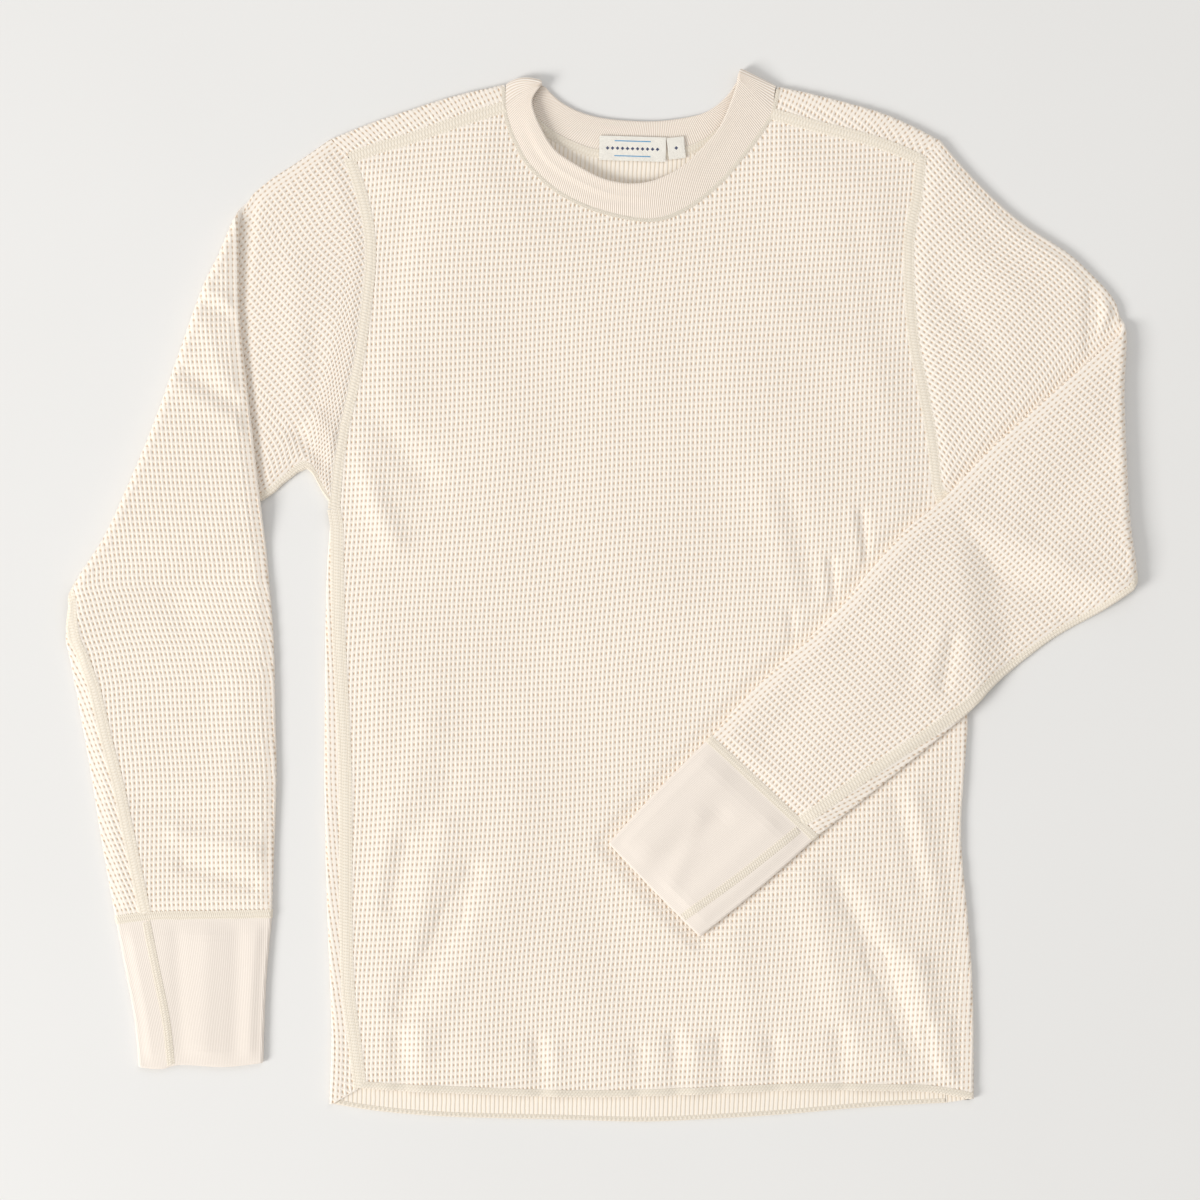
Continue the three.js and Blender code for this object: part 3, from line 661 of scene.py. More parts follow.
@dataclass
class PanelLay(Lay):
    """A body panel: flat, turned over at its folds, and lifted by soft creases where it lies on top.

    near and close are how far round a turn the cloth counts as near a bend and as tight.
    """

    middle: float
    up: float
    turns: Sequence[Turn]
    border: Points | None = None
    hem: Points | None = None
    near: float = 3.5
    close: float = 0.8

    def lift(self, plan: Points) -> Points:
        """Works out the height of the soft creases.

        Args:
            plan: Points in the plan.

        Returns:
            The height over the flat cloth at each point.
        """
        if self.border is None or self.hem is None:
            return np.zeros(len(plan))
        away, _, _ = nearest(plan, self.border)
        seams = smoothstep(away, 0, LIE.lift_margin)
        hem_away, _, _ = nearest(plan, self.hem)
        x, y = plan.T
        ends = smoothstep(x, *HEM_FREE[0]) * (1 - smoothstep(x, *HEM_FREE[1]))
        free = LIE.hem_lift * ends * (1 - smoothstep(hem_away, 0, LIE.lift_margin))
        forearm = LEFT_PLAN.forearm()
        beside_arm, _, _ = nearest(plan, np.vstack([forearm, forearm[:1]]))
        clear = smoothstep(np.where(within(plan, forearm), 0, beside_arm), *FOREARM_CLEAR)
        roll = LIE.swell * wave(x, y, 21, 1.3, 47)
        roll *= wave(y, x, 33, 0.8, 39)
        high = LIE.loft + roll + crease_height(plan, BODY_FOLDS) + crease_height(plan, BODY_RIPPLES)
        return np.maximum(high, 0) * np.maximum(seams, free) * clear

    def bends(self, plan: Points) -> Points:
        """Returns True for points in or near a turn."""
        return self.turning(plan, self.near)

    def tight(self, plan: Points) -> Points:
        """Returns True for points in a turn."""
        return self.turning(plan, self.close)

    def turning(self, plan: Points, margin: float) -> Points:
        """Finds the points in a turn.

        Args:
            plan: Points of the flat cloth.
            margin: How far past a turn's start and end still counts.

        Returns:
            True for each point in a turn.
        """
        near = np.zeros(len(plan), bool)
        for turn in self.turns:
            past, _, _ = turn.past(plan)
            near |= (past > -margin) & (past < math.pi * LIE.bend + margin)
        return near

    def place(self, flat: Points) -> Points:
        """Lays points of the panel, round each turn that they lie past.

        Args:
            flat: Points across, along and over the middle of the flat cloth.

        Returns:
            The points as laid, in millimetres.
        """
        plan, over = flat[:, :2], flat[:, 2]
        placed = np.column_stack([plan, self.middle + self.up * over])
        lift = self.lift(plan)
        for turn in self.turns:
            past, foot, outward = turn.past(plan)
            angle = np.clip(past / LIE.bend, 0, math.pi)
            tail = np.maximum(past - math.pi * LIE.bend, 0)
            reach = (LIE.bend + over) * np.sin(angle) - tail
            centre = self.middle - self.up * LIE.bend
            height = centre + self.up * (LIE.bend + over) * np.cos(angle)
            turned = np.column_stack([foot + outward * reach[:, None], height])
            beyond_start = past > 0
            placed[beyond_start] = turned[beyond_start]
            lift[beyond_start] = 0
        placed[:, 2] += lift
        return placed


@dataclass
class TubeLay(Lay):
    """A flattened tube, cut along its underarm seam.

    The flat cloth's X goes across from the line opposite the seam, and its Y from the open end. rows holds
    the tube's middle surface from the sewn end to the open one, and ups the direction of the side that
    faces up at the sewn end. cover is the outline of the tube's own part that lies on top of the rest. near
    and close are how far round an edge the cloth counts as near a bend and as tight, and where it faces up
    or down by less than level, it lies in the fold.
    """

    rows: Points
    ups: Points
    slide: Table
    creases: Sequence[Crease] = ()
    cover: Points | None = None
    step: float = 1.0
    near: float = 3.0
    close: float = 0.5
    level: float = 0.98
    middles: Points = field(init=False)
    facing: Points = field(init=False)
    column: Points = field(init=False)
    ends: Points = field(init=False)
    top: Points = field(init=False)
    widths: Points = field(init=False)

    def __post_init__(self) -> None:
        """Works out the tube's middle surface by share across and distance from the open end."""
        count = self.rows.shape[1]
        rows, ups = np.empty_like(self.rows), np.empty_like(self.ups)
        for k, (row, up) in enumerate(zip(self.rows, self.ups)):
            run = run_of(row)
            wanted = np.linspace(LIE.half_tube, run[-1] - LIE.half_tube, count)
            rows[k] = np.stack([np.interp(wanted, run, axis) for axis in row.T], 1)
            ups[k] = np.stack([np.interp(wanted, run, axis) for axis in up.T], 1)
        rows, ups = rows[::-1], ups[::-1]
        runs = [run_of(rows[:, k]) for k in range(count)]
        self.top = np.array([run[-1] for run in runs])
        along = np.arange(0, self.top.max() + CAP_SPARE, self.step)
        self.middles = np.empty((count, len(along), 3))
        self.facing = np.empty((count, len(along), 3))
        self.column = np.repeat(np.linspace(0, 1, count)[:, None, None], len(along), axis=1)
        for k, run in enumerate(runs):
            after = np.maximum(along - run[-1], 0)[:, None]
            onward = (rows[-1, k] - rows[-2, k]) / (run[-1] - run[-2])
            for axis in range(3):
                self.middles[k, :, axis] = np.interp(along, run, rows[:, k, axis])
                self.facing[k, :, axis] = np.interp(along, run, ups[:, k, axis])
            self.middles[k] += after * onward
        self.widths = np.empty(len(along))
        for j in range(len(along)):
            run = run_of(self.middles[:, j])
            self.widths[j] = run[-1]
            wanted = np.linspace(0, run[-1], count)
            for table in (self.middles, self.facing, self.column):
                table[:, j] = np.stack([np.interp(wanted, run, axis) for axis in table[:, j].T], 1)
        self.facing /= np.linalg.norm(self.facing, axis=2, keepdims=True)
        near = self.middles[0] - self.middles[1]
        far = self.middles[-1] - self.middles[-2]
        self.ends = np.stack([near, far])
        self.ends[..., 2] = 0
        self.ends /= np.maximum(np.linalg.norm(self.ends, axis=2, keepdims=True), 1e-9)
        for end in self.ends:
            for axis in range(2):
                end[:, axis] = averaged(end[:, axis], EDGE_REACH)
        self.ends /= np.maximum(np.linalg.norm(self.ends, axis=2, keepdims=True), 1e-9)
        self.widths = averaged(self.widths, WIDTH_REACH)

    @property
    def bend(self) -> float:
        """Radius of the cloth's middle at the tube's two edges."""
        return LIE.half_tube - LIE.wall / 2

    def width(self, along: Points) -> Points:
        """Returns the width between the two edges' centres at a distance from the open end."""
        return np.interp(along, np.arange(len(self.widths)) * self.step, self.widths)

    def half(self, along: Points) -> Points:
        """Returns half the way round the tube at a distance from the open end."""
        return self.width(along) + math.pi * self.bend

    def ring(self, across: Points, along: Points) -> tuple[Points, Points, Points, Points]:
        """Finds where points of the flat cloth come round the tube.

        Args:
            across: Distances across from the line opposite the seam.
            along: Distances from the open end.

        Returns:
            The share across the tube, the parts of the outward direction that go down, to the near edge and
            to the far edge.
        """
        width, arc = self.width(along), math.pi * self.bend
        slide = np.interp(along, *np.array(self.slide, float).T)
        turn = np.mod(across - slide, 2 * (width + arc))
        share = turn / width
        down = np.ones(len(turn))
        near, far = np.zeros(len(turn)), np.zeros(len(turn))
        edge = (turn > width) & (turn <= width + arc)
        angle = (turn - width) / self.bend
        share[edge], down[edge], far[edge] = 1, np.cos(angle[edge]), np.sin(angle[edge])
        back = (turn > width + arc) & (turn <= 2 * width + arc)
        share[back], down[back] = 1 - (turn - width - arc)[back] / width[back], -1
        last = turn > 2 * width + arc
        angle = (turn - 2 * width - arc) / self.bend
        share[last], down[last], near[last] = 0, -np.cos(angle[last]), np.sin(angle[last])
        return share, down, near, far

    def cap(self, across: Points) -> Points:
        """Works out how far from the open end the flat cloth reaches.

        Args:
            across: Distances across from the line opposite the seam.

        Returns:
            The distance from the open end at each.
        """
        along = np.full(len(across), self.top.mean())
        for _ in range(CAP_ROUNDS):
            share, _, _, _ = self.ring(across, along)
            column = self.sample(self.column, share, along)[:, 0]
            reached = np.interp(column, np.linspace(0, 1, len(self.top)), self.top)
            along = (along + reached) / 2
        return along

    def corner(self) -> tuple[float, float]:
        """Works out where the seam meets the sewn end.

        Returns:
            The distance across, and from the open end.
        """
        along = self.top[-1:]
        for _ in range(CORNER_ROUNDS):
            across = self.half(along)
            along = self.cap(across)
        return float(across[0]), float(along[0])

    def bends(self, plan: Points) -> Points:
        """Returns True for points in or near an edge of the tube or its fold."""
        return self.turning(plan, self.near)

    def tight(self, plan: Points) -> Points:
        """Returns True for points in an edge of the tube or its fold."""
        return self.turning(plan, self.close)

    def turning(self, plan: Points, margin: float) -> Points:
        """Finds the points in the fold or in an edge of the tube.

        Args:
            plan: Points of the flat cloth.
            margin: How far past an edge still counts.

        Returns:
            True for each such point.
        """
        across, along = plan.T
        width, arc = self.width(along), math.pi * self.bend
        turn = np.mod(across - np.interp(along, *np.array(self.slide, float).T), 2 * (width + arc))
        near = (turn < margin) | (turn > 2 * width + arc - margin)
        near |= (turn > width - margin) & (turn < width + arc + margin)
        share, _, _, _ = self.ring(across, along)
        return near | (np.abs(self.sample(self.facing, share, along)[:, 2]) < self.level)

    def outline(self) -> Points:
        """Draws the outline of the flat cloth.

        Returns:
            The outline's points, from the open end up one side, round the sewn end and down the other.
        """
        edge, _ = self.corner()
        across = np.linspace(edge, -edge, CAP_POINTS)
        cap = self.cap(across)
        right = np.linspace(0, cap[0], SEAM_POINTS)[:-1]
        left = np.linspace(cap[-1], 0, SEAM_POINTS)[1:]
        return np.vstack([
            np.column_stack([self.half(right), right]),
            np.column_stack([across, cap]),
            np.column_stack([-self.half(left), left]),
        ])

    def sample(self, table: Points, share: Points, along: Points) -> Points:
        """Reads a table between its own rows and columns.

        Args:
            table: Values by share across and distance from the open end.
            share: The shares across to read at.
            along: The distances to read at.

        Returns:
            The values there.
        """
        u = np.clip(share, 0, 1) * (table.shape[0] - 1)
        v = along / self.step
        i = np.clip(np.floor(u).astype(int), 0, table.shape[0] - 2)
        j = np.clip(np.floor(v).astype(int), 0, table.shape[1] - 2)
        u, v = (u - i)[:, None], (v - j)[:, None]
        return (
            (1 - u) * (1 - v) * table[i, j] + u * (1 - v) * table[i + 1, j]
            + (1 - u) * v * table[i, j + 1] + u * v * table[i + 1, j + 1]
        )

    def place(self, flat: Points) -> Points:
        """Lays points of the flat cloth round the tube, with its soft creases.

        Args:
            flat: Points across, along and over the middle of the flat cloth.

        Returns:
            The points as laid, in millimetres.
        """
        across, along, over = flat.T
        share, down, near, far = self.ring(across, along)
        middle = self.sample(self.middles, share, along)
        up = self.sample(self.facing, share, along)
        level = np.clip(np.round(along / self.step).astype(int), 0, self.ends.shape[1] - 1)
        out = -up * down[:, None]
        out += self.ends[0, level] * near[:, None] + self.ends[1, level] * far[:, None]
        placed = middle + out * (self.bend + over)[:, None]
        if self.creases:
            width = self.width(along)
            hold = smoothstep(share * width, 0, HOLD.edge)
            hold *= smoothstep((1 - share) * width, 0, HOLD.edge)
            hold *= smoothstep(along, 0, HOLD.open_end)
            hold *= smoothstep(self.cap(across) - along, 0, HOLD.sewn_end)
            hold *= smoothstep(out[:, 2], *HOLD.steep)
            if self.cover is not None:
                away, _, _ = nearest(placed[:, :2], np.vstack([self.cover, self.cover[:1]]))
                free = smoothstep(np.where(within(placed[:, :2], self.cover), 0, away), *HOLD.cover)
                hold *= np.where(up[:, 2] > 0, free, 1)
            lift = LIE.sleeve_loft + crease_height(placed[:, :2], self.creases)
            placed[:, 2] += hold * np.maximum(lift, HOLD.dip)
        return placed


@dataclass
class RingLay(Lay):
    """The neck's band.

    Its flat X goes round it in shares of the whole, and its Y from the seam to the free edge. blend is the
    share over which a crease begins and ends.
    """

    seam: Points
    free: Points
    bulge: Points
    creases: Sequence[tuple] = ()
    blend: float = 0.05
    middle: Points = field(init=False)
    normal: Points = field(init=False)
    run: Points = field(init=False)

    def __post_init__(self) -> None:
        """Works out the band's own direction and the distance round it."""
        self.middle = (self.seam + self.free) / 2
        along = np.roll(self.middle, -1, axis=0) - np.roll(self.middle, 1, axis=0)
        self.normal = np.cross(along, self.free - self.seam)
        self.normal /= np.linalg.norm(self.normal, axis=1)[:, None]
        closed = np.vstack([self.middle, self.middle[:1]])
        self.run = run_of(closed)

    def around(self, table: Points, share: Points) -> Points:
        """Reads a table round the band.

        Args:
            table: Values at the band's stations.
            share: The shares of the way round to read at.

        Returns:
            The values there.
        """
        closed = np.vstack([table, table[:1]])
        wanted = np.mod(share, 1) * self.run[-1]
        return np.stack([np.interp(wanted, self.run, axis) for axis in closed.T], 1)

    def place(self, flat: Points) -> Points:
        """Lays points of the band, rounded at its folds and with its soft creases.

        Args:
            flat: Share round, share up and height over the middle.

        Returns:
            The points as laid, in millimetres.
        """
        share, up, over = flat.T
        seam, free = self.around(self.seam, share), self.around(self.free, share)
        lift = np.zeros(len(flat))
        for (start, end), level, wide, high in self.creases:
            along = smoothstep(share, start, start + self.blend)
            along *= 1 - smoothstep(share, end - self.blend, end)
            lift += high * along * np.exp(-(((up - level) / wide) ** 2))
        out = self.around(self.normal, share)
        round_out = self.around(self.bulge, share) * (4 * up * (1 - up))[:, None]
        return seam + (free - seam) * up[:, None] + round_out + out * (over + lift)[:, None]


class Shade:
    """A node tree that is filled in a few calls."""

    def __init__(self, tree: bpy.types.NodeTree) -> None:
        """Starts on a node tree."""
        self.tree = tree

    def add(self, kind: str, values: dict | None = None, **settings: object) -> bpy.types.Node:
        """Adds a node.

        Args:
            kind: The node's type.
            values: What its inputs get, by name or place: a plain value or another node's output.
            settings: The node's own settings.

        Returns:
            The node.
        """
        node = self.tree.nodes.new(kind)
        for name, value in settings.items():
            setattr(node, name, value)
        for key, value in (values or {}).items():
            if isinstance(value, bpy.types.NodeSocket):
                self.tree.links.new(value, node.inputs[key])
            else:
                node.inputs[key].default_value = value
        return node

    def math(self, operation: str, *values: object) -> bpy.types.NodeSocket:
        """Adds a Math node and returns its result."""
        return self.add("ShaderNodeMath", dict(enumerate(values)), operation=operation).outputs[0]

    def mix(self, share: object, low: object, high: object) -> bpy.types.NodeSocket:
        """Mixes two colours.

        Args:
            share: How much of the second colour it takes.
            low: The first colour, or a node's output.
            high: The second colour, or a node's output.

        Returns:
            The mixed colour.
        """
        node = self.add("ShaderNodeMix", data_type="RGBA")
        for key, value in (("Factor", share), ("A", low), ("B", high)):
            kind = "VALUE" if key == "Factor" else "RGBA"
            socket = next(s for s in node.inputs if s.name == key and s.type == kind)
            if isinstance(value, bpy.types.NodeSocket):
                self.tree.links.new(value, socket)
            else:
                socket.default_value = value
        return next(s for s in node.outputs if s.type == "RGBA")

    def ease(self, value: object, start: float, end: float) -> bpy.types.NodeSocket:
        """Turns a value into 0 before start, 1 after end and an even curve between them."""
        values = {"Value": value, "From Min": start, "From Max": end}
        return self.add("ShaderNodeMapRange", values, interpolation_type="SMOOTHSTEP").outputs[0]


def shader_group(name: str, inputs: dict[str, str], outputs: dict[str, str]) -> tuple[Shade, dict, dict]:
    """Starts a shader node group.

    Args:
        name: The group's name.
        inputs: The kind of each input socket by name.
        outputs: The kind of each output socket by name.

    Returns:
        The group's tree, its input sockets to read and its output sockets to link, by name.
    """
    tree = bpy.data.node_groups.new(name, "ShaderNodeTree")
    for label, kind in inputs.items():
        tree.interface.new_socket(name=label, in_out="INPUT", socket_type=kind)
    for label, kind in outputs.items():
        tree.interface.new_socket(name=label, in_out="OUTPUT", socket_type=kind)
    start, end = tree.nodes.new("NodeGroupInput"), tree.nodes.new("NodeGroupOutput")
    return Shade(tree), {s.name: s for s in start.outputs}, {s.name: s for s in end.inputs}


class SharedKnit:
    """Shader groups that several finishes use."""

    def __init__(self) -> None:
        """Builds the groups."""
        self.nap = self.build_nap()
        self.cells = self.build_cells()

    def build_nap(self) -> bpy.types.NodeTree:
        """Builds the group for soft patches of tone and fine fibres.

        Returns:
            The group, which gives Tone and Fibre from 0 to 1.
        """
        shade, given, put = shader_group(
            "yarn_nap",
            {
                "Place": "NodeSocketVector",
                "Patch Scale": "NodeSocketFloat",
                "Fibre Scale": "NodeSocketFloat",
            },
            {"Tone": "NodeSocketFloat", "Fibre": "NodeSocketFloat"},
        )
        patch = shade.add(
            "ShaderNodeTexNoise", {"Vector": given["Place"], "Scale": given["Patch Scale"], "Detail": 4.0}
        )
        fibre = shade.add(
            "ShaderNodeTexNoise",
            {"Vector": given["Place"], "Scale": given["Fibre Scale"], "Detail": 3.0, "Roughness": 0.7},
        )
        shade.tree.links.new(patch.outputs[0], put["Tone"])
        shade.tree.links.new(fibre.outputs[0], put["Fibre"])
        return shade.tree

    def build_cells(self) -> bpy.types.NodeTree:
        """Builds the group for the waffle's cells, which a vector of columns and rows runs through.

        Returns:
            The group, which gives Groove between the upright ridges, Pit in the middle of a cell and the
            Height of the loops on the ridges, each from 0 to 1.
        """
        shade, given, put = shader_group(
            "waffle_cells",
            {"Place": "NodeSocketVector"},
            {"Groove": "NodeSocketFloat", "Pit": "NodeSocketFloat", "Height": "NodeSocketFloat"},
        )
        parts = shade.add("ShaderNodeSeparateXYZ", {0: given["Place"]})
        across = shade.math("PINGPONG", parts.outputs[0], 0.5)
        along = shade.math("PINGPONG", parts.outputs[1], 0.5)
        # groove and pit shape the bump and mark where the waffle finish paints shade.
        groove = shade.ease(across, 0.22, 0.48)
        between = shade.ease(along, 0.18, 0.44)
        pit = shade.math("MULTIPLY", groove, between)
        lean = shade.math("MULTIPLY_ADD", across, 0.8, parts.outputs[1])
        loop = shade.math("SINE", shade.math("MULTIPLY", lean, 8 * math.pi))
        ridge = shade.math("SUBTRACT", 1.0, shade.math("MULTIPLY_ADD", groove, 0.35, pit))
        height = shade.math("MULTIPLY_ADD", loop, 0.07, ridge)
        for name, value in (("Groove", groove), ("Pit", pit), ("Height", height)):
            shade.tree.links.new(value, put[name])
        return shade.tree


def start_finish(
    name: str, roughness: float, sheen: float
) -> tuple[bpy.types.Material, Shade, bpy.types.Node]:
    """Starts a matte material.

    Args:
        name: The material's name.
        roughness: Its roughness.
        sheen: The weight of its soft fibres' sheen.

    Returns:
        The material, its tree and its surface node.
    """
    material = bpy.data.materials.new(name)
    material.use_nodes = True
    surface = material.node_tree.nodes["Principled BSDF"]
    surface.inputs["Roughness"].default_value = roughness
    surface.inputs["Sheen Weight"].default_value = sheen
    surface.inputs["Sheen Roughness"].default_value = 0.6
    return material, Shade(material.node_tree), surface


def add_nap(shade: Shade, shared: SharedKnit, patch: float, fibre: float) -> bpy.types.Node:
    """Adds the soft patches of tone and the fine fibres.

    Args:
        shade: The material's tree.
        shared: The shader groups that the finishes share.
        patch: How small the patches are.
        fibre: How fine the fibres are.

    Returns:
        The node for tone and fibres.
    """
    nap = shade.add("ShaderNodeGroup", node_tree=shared.nap)
    nap.inputs["Patch Scale"].default_value = patch
    nap.inputs["Fibre Scale"].default_value = fibre
    shade.tree.links.new(shade.add("ShaderNodeTexCoord").outputs["Object"], nap.inputs["Place"])
    return nap


def finish_knit(
    shade: Shade, surface: bpy.types.Node, nap: bpy.types.Node, colour: object, height: object,
    tone: float, relief: float,
) -> None:
    """Gives the surface its toned colour and its relief.

    Args:
        shade: The material's tree.
        surface: The surface node.
        nap: The node for tone and fibres.
        colour: The knit's colour.
        height: The knit's height, for the relief.
        tone: How far the tone goes up and down.
        relief: How high the relief is, in metres.
    """
    toned = shade.add(
        "ShaderNodeMapRange", {"Value": nap.outputs["Tone"], "To Min": 1 - tone, "To Max": 1 + tone / 2}
    ).outputs[0]
    product = shade.add("ShaderNodeVectorMath", {0: colour, 1: toned}, operation="MULTIPLY")
    shade.tree.links.new(product.outputs[0], surface.inputs["Base Color"])
    rough = shade.math("MULTIPLY_ADD", nap.outputs["Fibre"], 0.3, height)
    bump = shade.add("ShaderNodeBump", {"Height": rough, "Strength": 0.8, "Distance": relief})
    shade.tree.links.new(bump.outputs[0], surface.inputs["Normal"])


@dataclass(frozen=True)
class WaffleFinish:
    """Matte waffle knit, from its crests through its grooves down to its pits; the groove and pit colours
    are painted shade.
    """

    name: str
    crest: tuple[float, float, float]
    groove: tuple[float, float, float]
    pit: tuple[float, float, float]
    ribbed: bool = False
    relief: float = 0.0003
    tone: float = 0.06

    def make(self, shared: SharedKnit) -> bpy.types.Material:
        """Makes the material.

        Args:
            shared: The shader groups that the finishes share.

        Returns:
            The material.
        """
        material, shade, surface = start_finish(self.name, 0.92, 0.1)
        place = shade.add("ShaderNodeAttribute", attribute_name="knit").outputs["Vector"]
        cells = shade.add("ShaderNodeGroup", {"Place": place}, node_tree=shared.cells)
        nap = add_nap(shade, shared, 9.0, FIBRES)
        # The groove and pit colours are painted shade in the knit's hollows, laid over the crest colour; the
        # reverse shows only a little of the pit's.
        shaded_grooves = shade.mix(cells.outputs["Groove"], (*self.crest, 1), (*self.groove, 1))
        deep = shade.math("MULTIPLY", cells.outputs["Pit"], 0.15 if self.ribbed else 1.0)
        colour = shade.mix(deep, shaded_grooves, (*self.pit, 1))
        height = cells.outputs["Height"]
        if self.ribbed:
            height = shade.math("MULTIPLY", cells.outputs["Groove"], -1.0)
        finish_knit(shade, surface, nap, colour, height, self.tone, self.relief)
        return material


@dataclass(frozen=True)
class ThreadFinish:
    """Matte fine rib or sewing thread.

    Its second colour is painted shade in the grooves or between the threads, and hatch is how far crossing
    threads show in that shade.
    """

    name: str
    crest: tuple[float, float, float]
    hollow_shade: tuple[float, float, float]
    twist: float
    relief: float
    tone: float = 0.05
    hatch: float = 0.0

    def make(self, shared: SharedKnit) -> bpy.types.Material:
        """Makes the material.

        Args:
            shared: The shader groups that the finishes share.

        Returns:
            The material.
        """
        material, shade, surface = start_finish(self.name, 0.9, 0.1)
        depth = shade.add("ShaderNodeAttribute", attribute_name="depth").outputs["Fac"]
        place = shade.add("ShaderNodeAttribute", attribute_name="knit").outputs["Vector"]
        nap = add_nap(shade, shared, 12.0, FIBRES)
        parts = shade.add("ShaderNodeSeparateXYZ", {0: place})
        turn = shade.math("MULTIPLY_ADD", parts.outputs[1], self.twist, parts.outputs[0])
        strand = shade.math("SINE", shade.math("MULTIPLY", turn, 4 * math.pi))
        aside = shade.math("MULTIPLY", parts.outputs[1], self.twist)
        ways = []
        for kind in ("ADD", "SUBTRACT"):
            leaning = shade.math(kind, parts.outputs[0], aside)
            ways.append(shade.math("SINE", shade.math("MULTIPLY", leaning, 2 * math.pi)))
        crossed = shade.math("MULTIPLY", *ways)
        # low is where the painted shade of the grooves and the gaps between threads goes, shifted by the
        # crossing threads; it also shapes the bump.
        low = shade.ease(shade.math("MULTIPLY_ADD", crossed, self.hatch, depth), 0.2, 1.0)
        colour = shade.mix(low, (*self.crest, 1), (*self.hollow_shade, 1))
        height = shade.math("MULTIPLY_ADD", strand, 0.25, shade.math("SUBTRACT", 1.0, low))
        finish_knit(shade, surface, nap, colour, height, self.tone, self.relief)
        return material


@dataclass(frozen=True)
class LabelFinish:
    """A smooth woven label with two plain rules and a row of small diamonds between them."""

    name: str
    ground: tuple[float, float, float] = (0.93, 0.895, 0.82)
    rule: tuple[float, float, float] = (0.10, 0.36, 0.62)
    mark: tuple[float, float, float] = (0.035, 0.05, 0.13)
    rules_at: float = 5.4
    rules_half: float = 0.4
    rules_reach: float = 13.0
    marks_pitch: float = 3.6
    marks_size: float = 1.35
    marks_reach: float = 19.8

    def make(self, shared: SharedKnit) -> bpy.types.Material:
        """Makes the material; the label's place in the weave is in millimetres from its middle.

        Args:
            shared: The shader groups that the finishes share.

        Returns:
            The material.
        """
        material, shade, surface = start_finish(self.name, 0.55, 0.2)
        place = shade.add("ShaderNodeAttribute", attribute_name="knit").outputs["Vector"]
        parts = shade.add("ShaderNodeSeparateXYZ", {0: place})
        x, y = shade.math("ABSOLUTE", parts.outputs[0]), shade.math("ABSOLUTE", parts.outputs[1])
        off = shade.math("ABSOLUTE", shade.math("SUBTRACT", y, self.rules_at))
        rule = shade.math(
            "MULTIPLY",
            shade.math("LESS_THAN", off, self.rules_half),
            shade.math("LESS_THAN", x, self.rules_reach),
        )
        step = shade.math("PINGPONG", parts.outputs[0], self.marks_pitch / 2)
        mark = shade.math(
            "MULTIPLY",
            shade.math("LESS_THAN", shade.math("ADD", step, y), self.marks_size),
            shade.math("LESS_THAN", x, self.marks_reach),
        )
        nap = add_nap(shade, shared, 60.0, 4200.0)
        ruled = shade.mix(rule, (*self.ground, 1), (*self.rule, 1))
        marked = shade.mix(mark, ruled, (*self.mark, 1))
        twill = shade.add("ShaderNodeVectorMath", {0: place, 1: (14.0, 22.0, 0.0)}, operation="DOT_PRODUCT")
        height = shade.math("SINE", twill.outputs["Value"])
        finish_knit(shade, surface, nap, marked, height, 0.04, 0.00005)
        return material


# The waffle finishes' groove and pit colours and the thread finishes' second colours are painted shade in
# hollows.
WAFFLE = WaffleFinish("waffle_cotton", (0.91, 0.84, 0.76), (0.865, 0.775, 0.67), (0.68, 0.50, 0.345))
REVERSE = WaffleFinish("waffle_reverse", (0.92, 0.85, 0.76), (0.82, 0.715, 0.58), (0.76, 0.63, 0.48), True)
RIB = ThreadFinish("rib_cotton", (0.915, 0.845, 0.77), (0.72, 0.605, 0.495), 0.0, 0.0001)
CUFF = ThreadFinish("cuff_cotton", (0.865, 0.79, 0.72), (0.82, 0.735, 0.655), 0.0, 0.00004)
THREAD = ThreadFinish("seam_thread", (0.91, 0.84, 0.735), (0.81, 0.715, 0.58), 1.0, 0.0002, hatch=0.4)
LABEL = LabelFinish("woven_label")
TAB = LabelFinish("woven_tab", rules_at=90.0, marks_size=1.4, marks_reach=1.6, marks_pitch=40.0)


@dataclass(frozen=True)
class Weave:
    """The waffle's cells: their size in millimetres, how they lean in degrees, and the pits' depth."""

    wale: float = 3.2
    course: float = 4.3
    wale_lean: float = 0.0
    course_lean: float = 0.0
    pit: float = 0.62
    wander: float = 1.4
    jitter: float = 0.1


def flat_grid(columns: int, rows: int) -> bmesh.types.BMesh:
    """Makes a grid of one by one, centred on its origin.

    Args:
        columns: How many faces it has across.
        rows: How many faces it has along.

    Returns:
        The grid.
    """
    grid = bmesh.new()
    bmesh.ops.create_grid(grid, x_segments=columns, y_segments=rows, size=0.5)
    return grid


def thicken(cloth: bmesh.types.BMesh) -> tuple[list, list]:
    """Gives flat cloth a second skin, joined all round.

    Args:
        cloth: The flat cloth, which becomes the outer skin.

    Returns:
        The faces of the outer skin and of the inner skin.
    """
    outer = list(cloth.faces)
    made = bmesh.ops.extrude_face_region(cloth, geom=outer, use_keep_orig=True)["geom"]
    inner = [part for part in made if isinstance(part, bmesh.types.BMFace)]
    return outer, inner


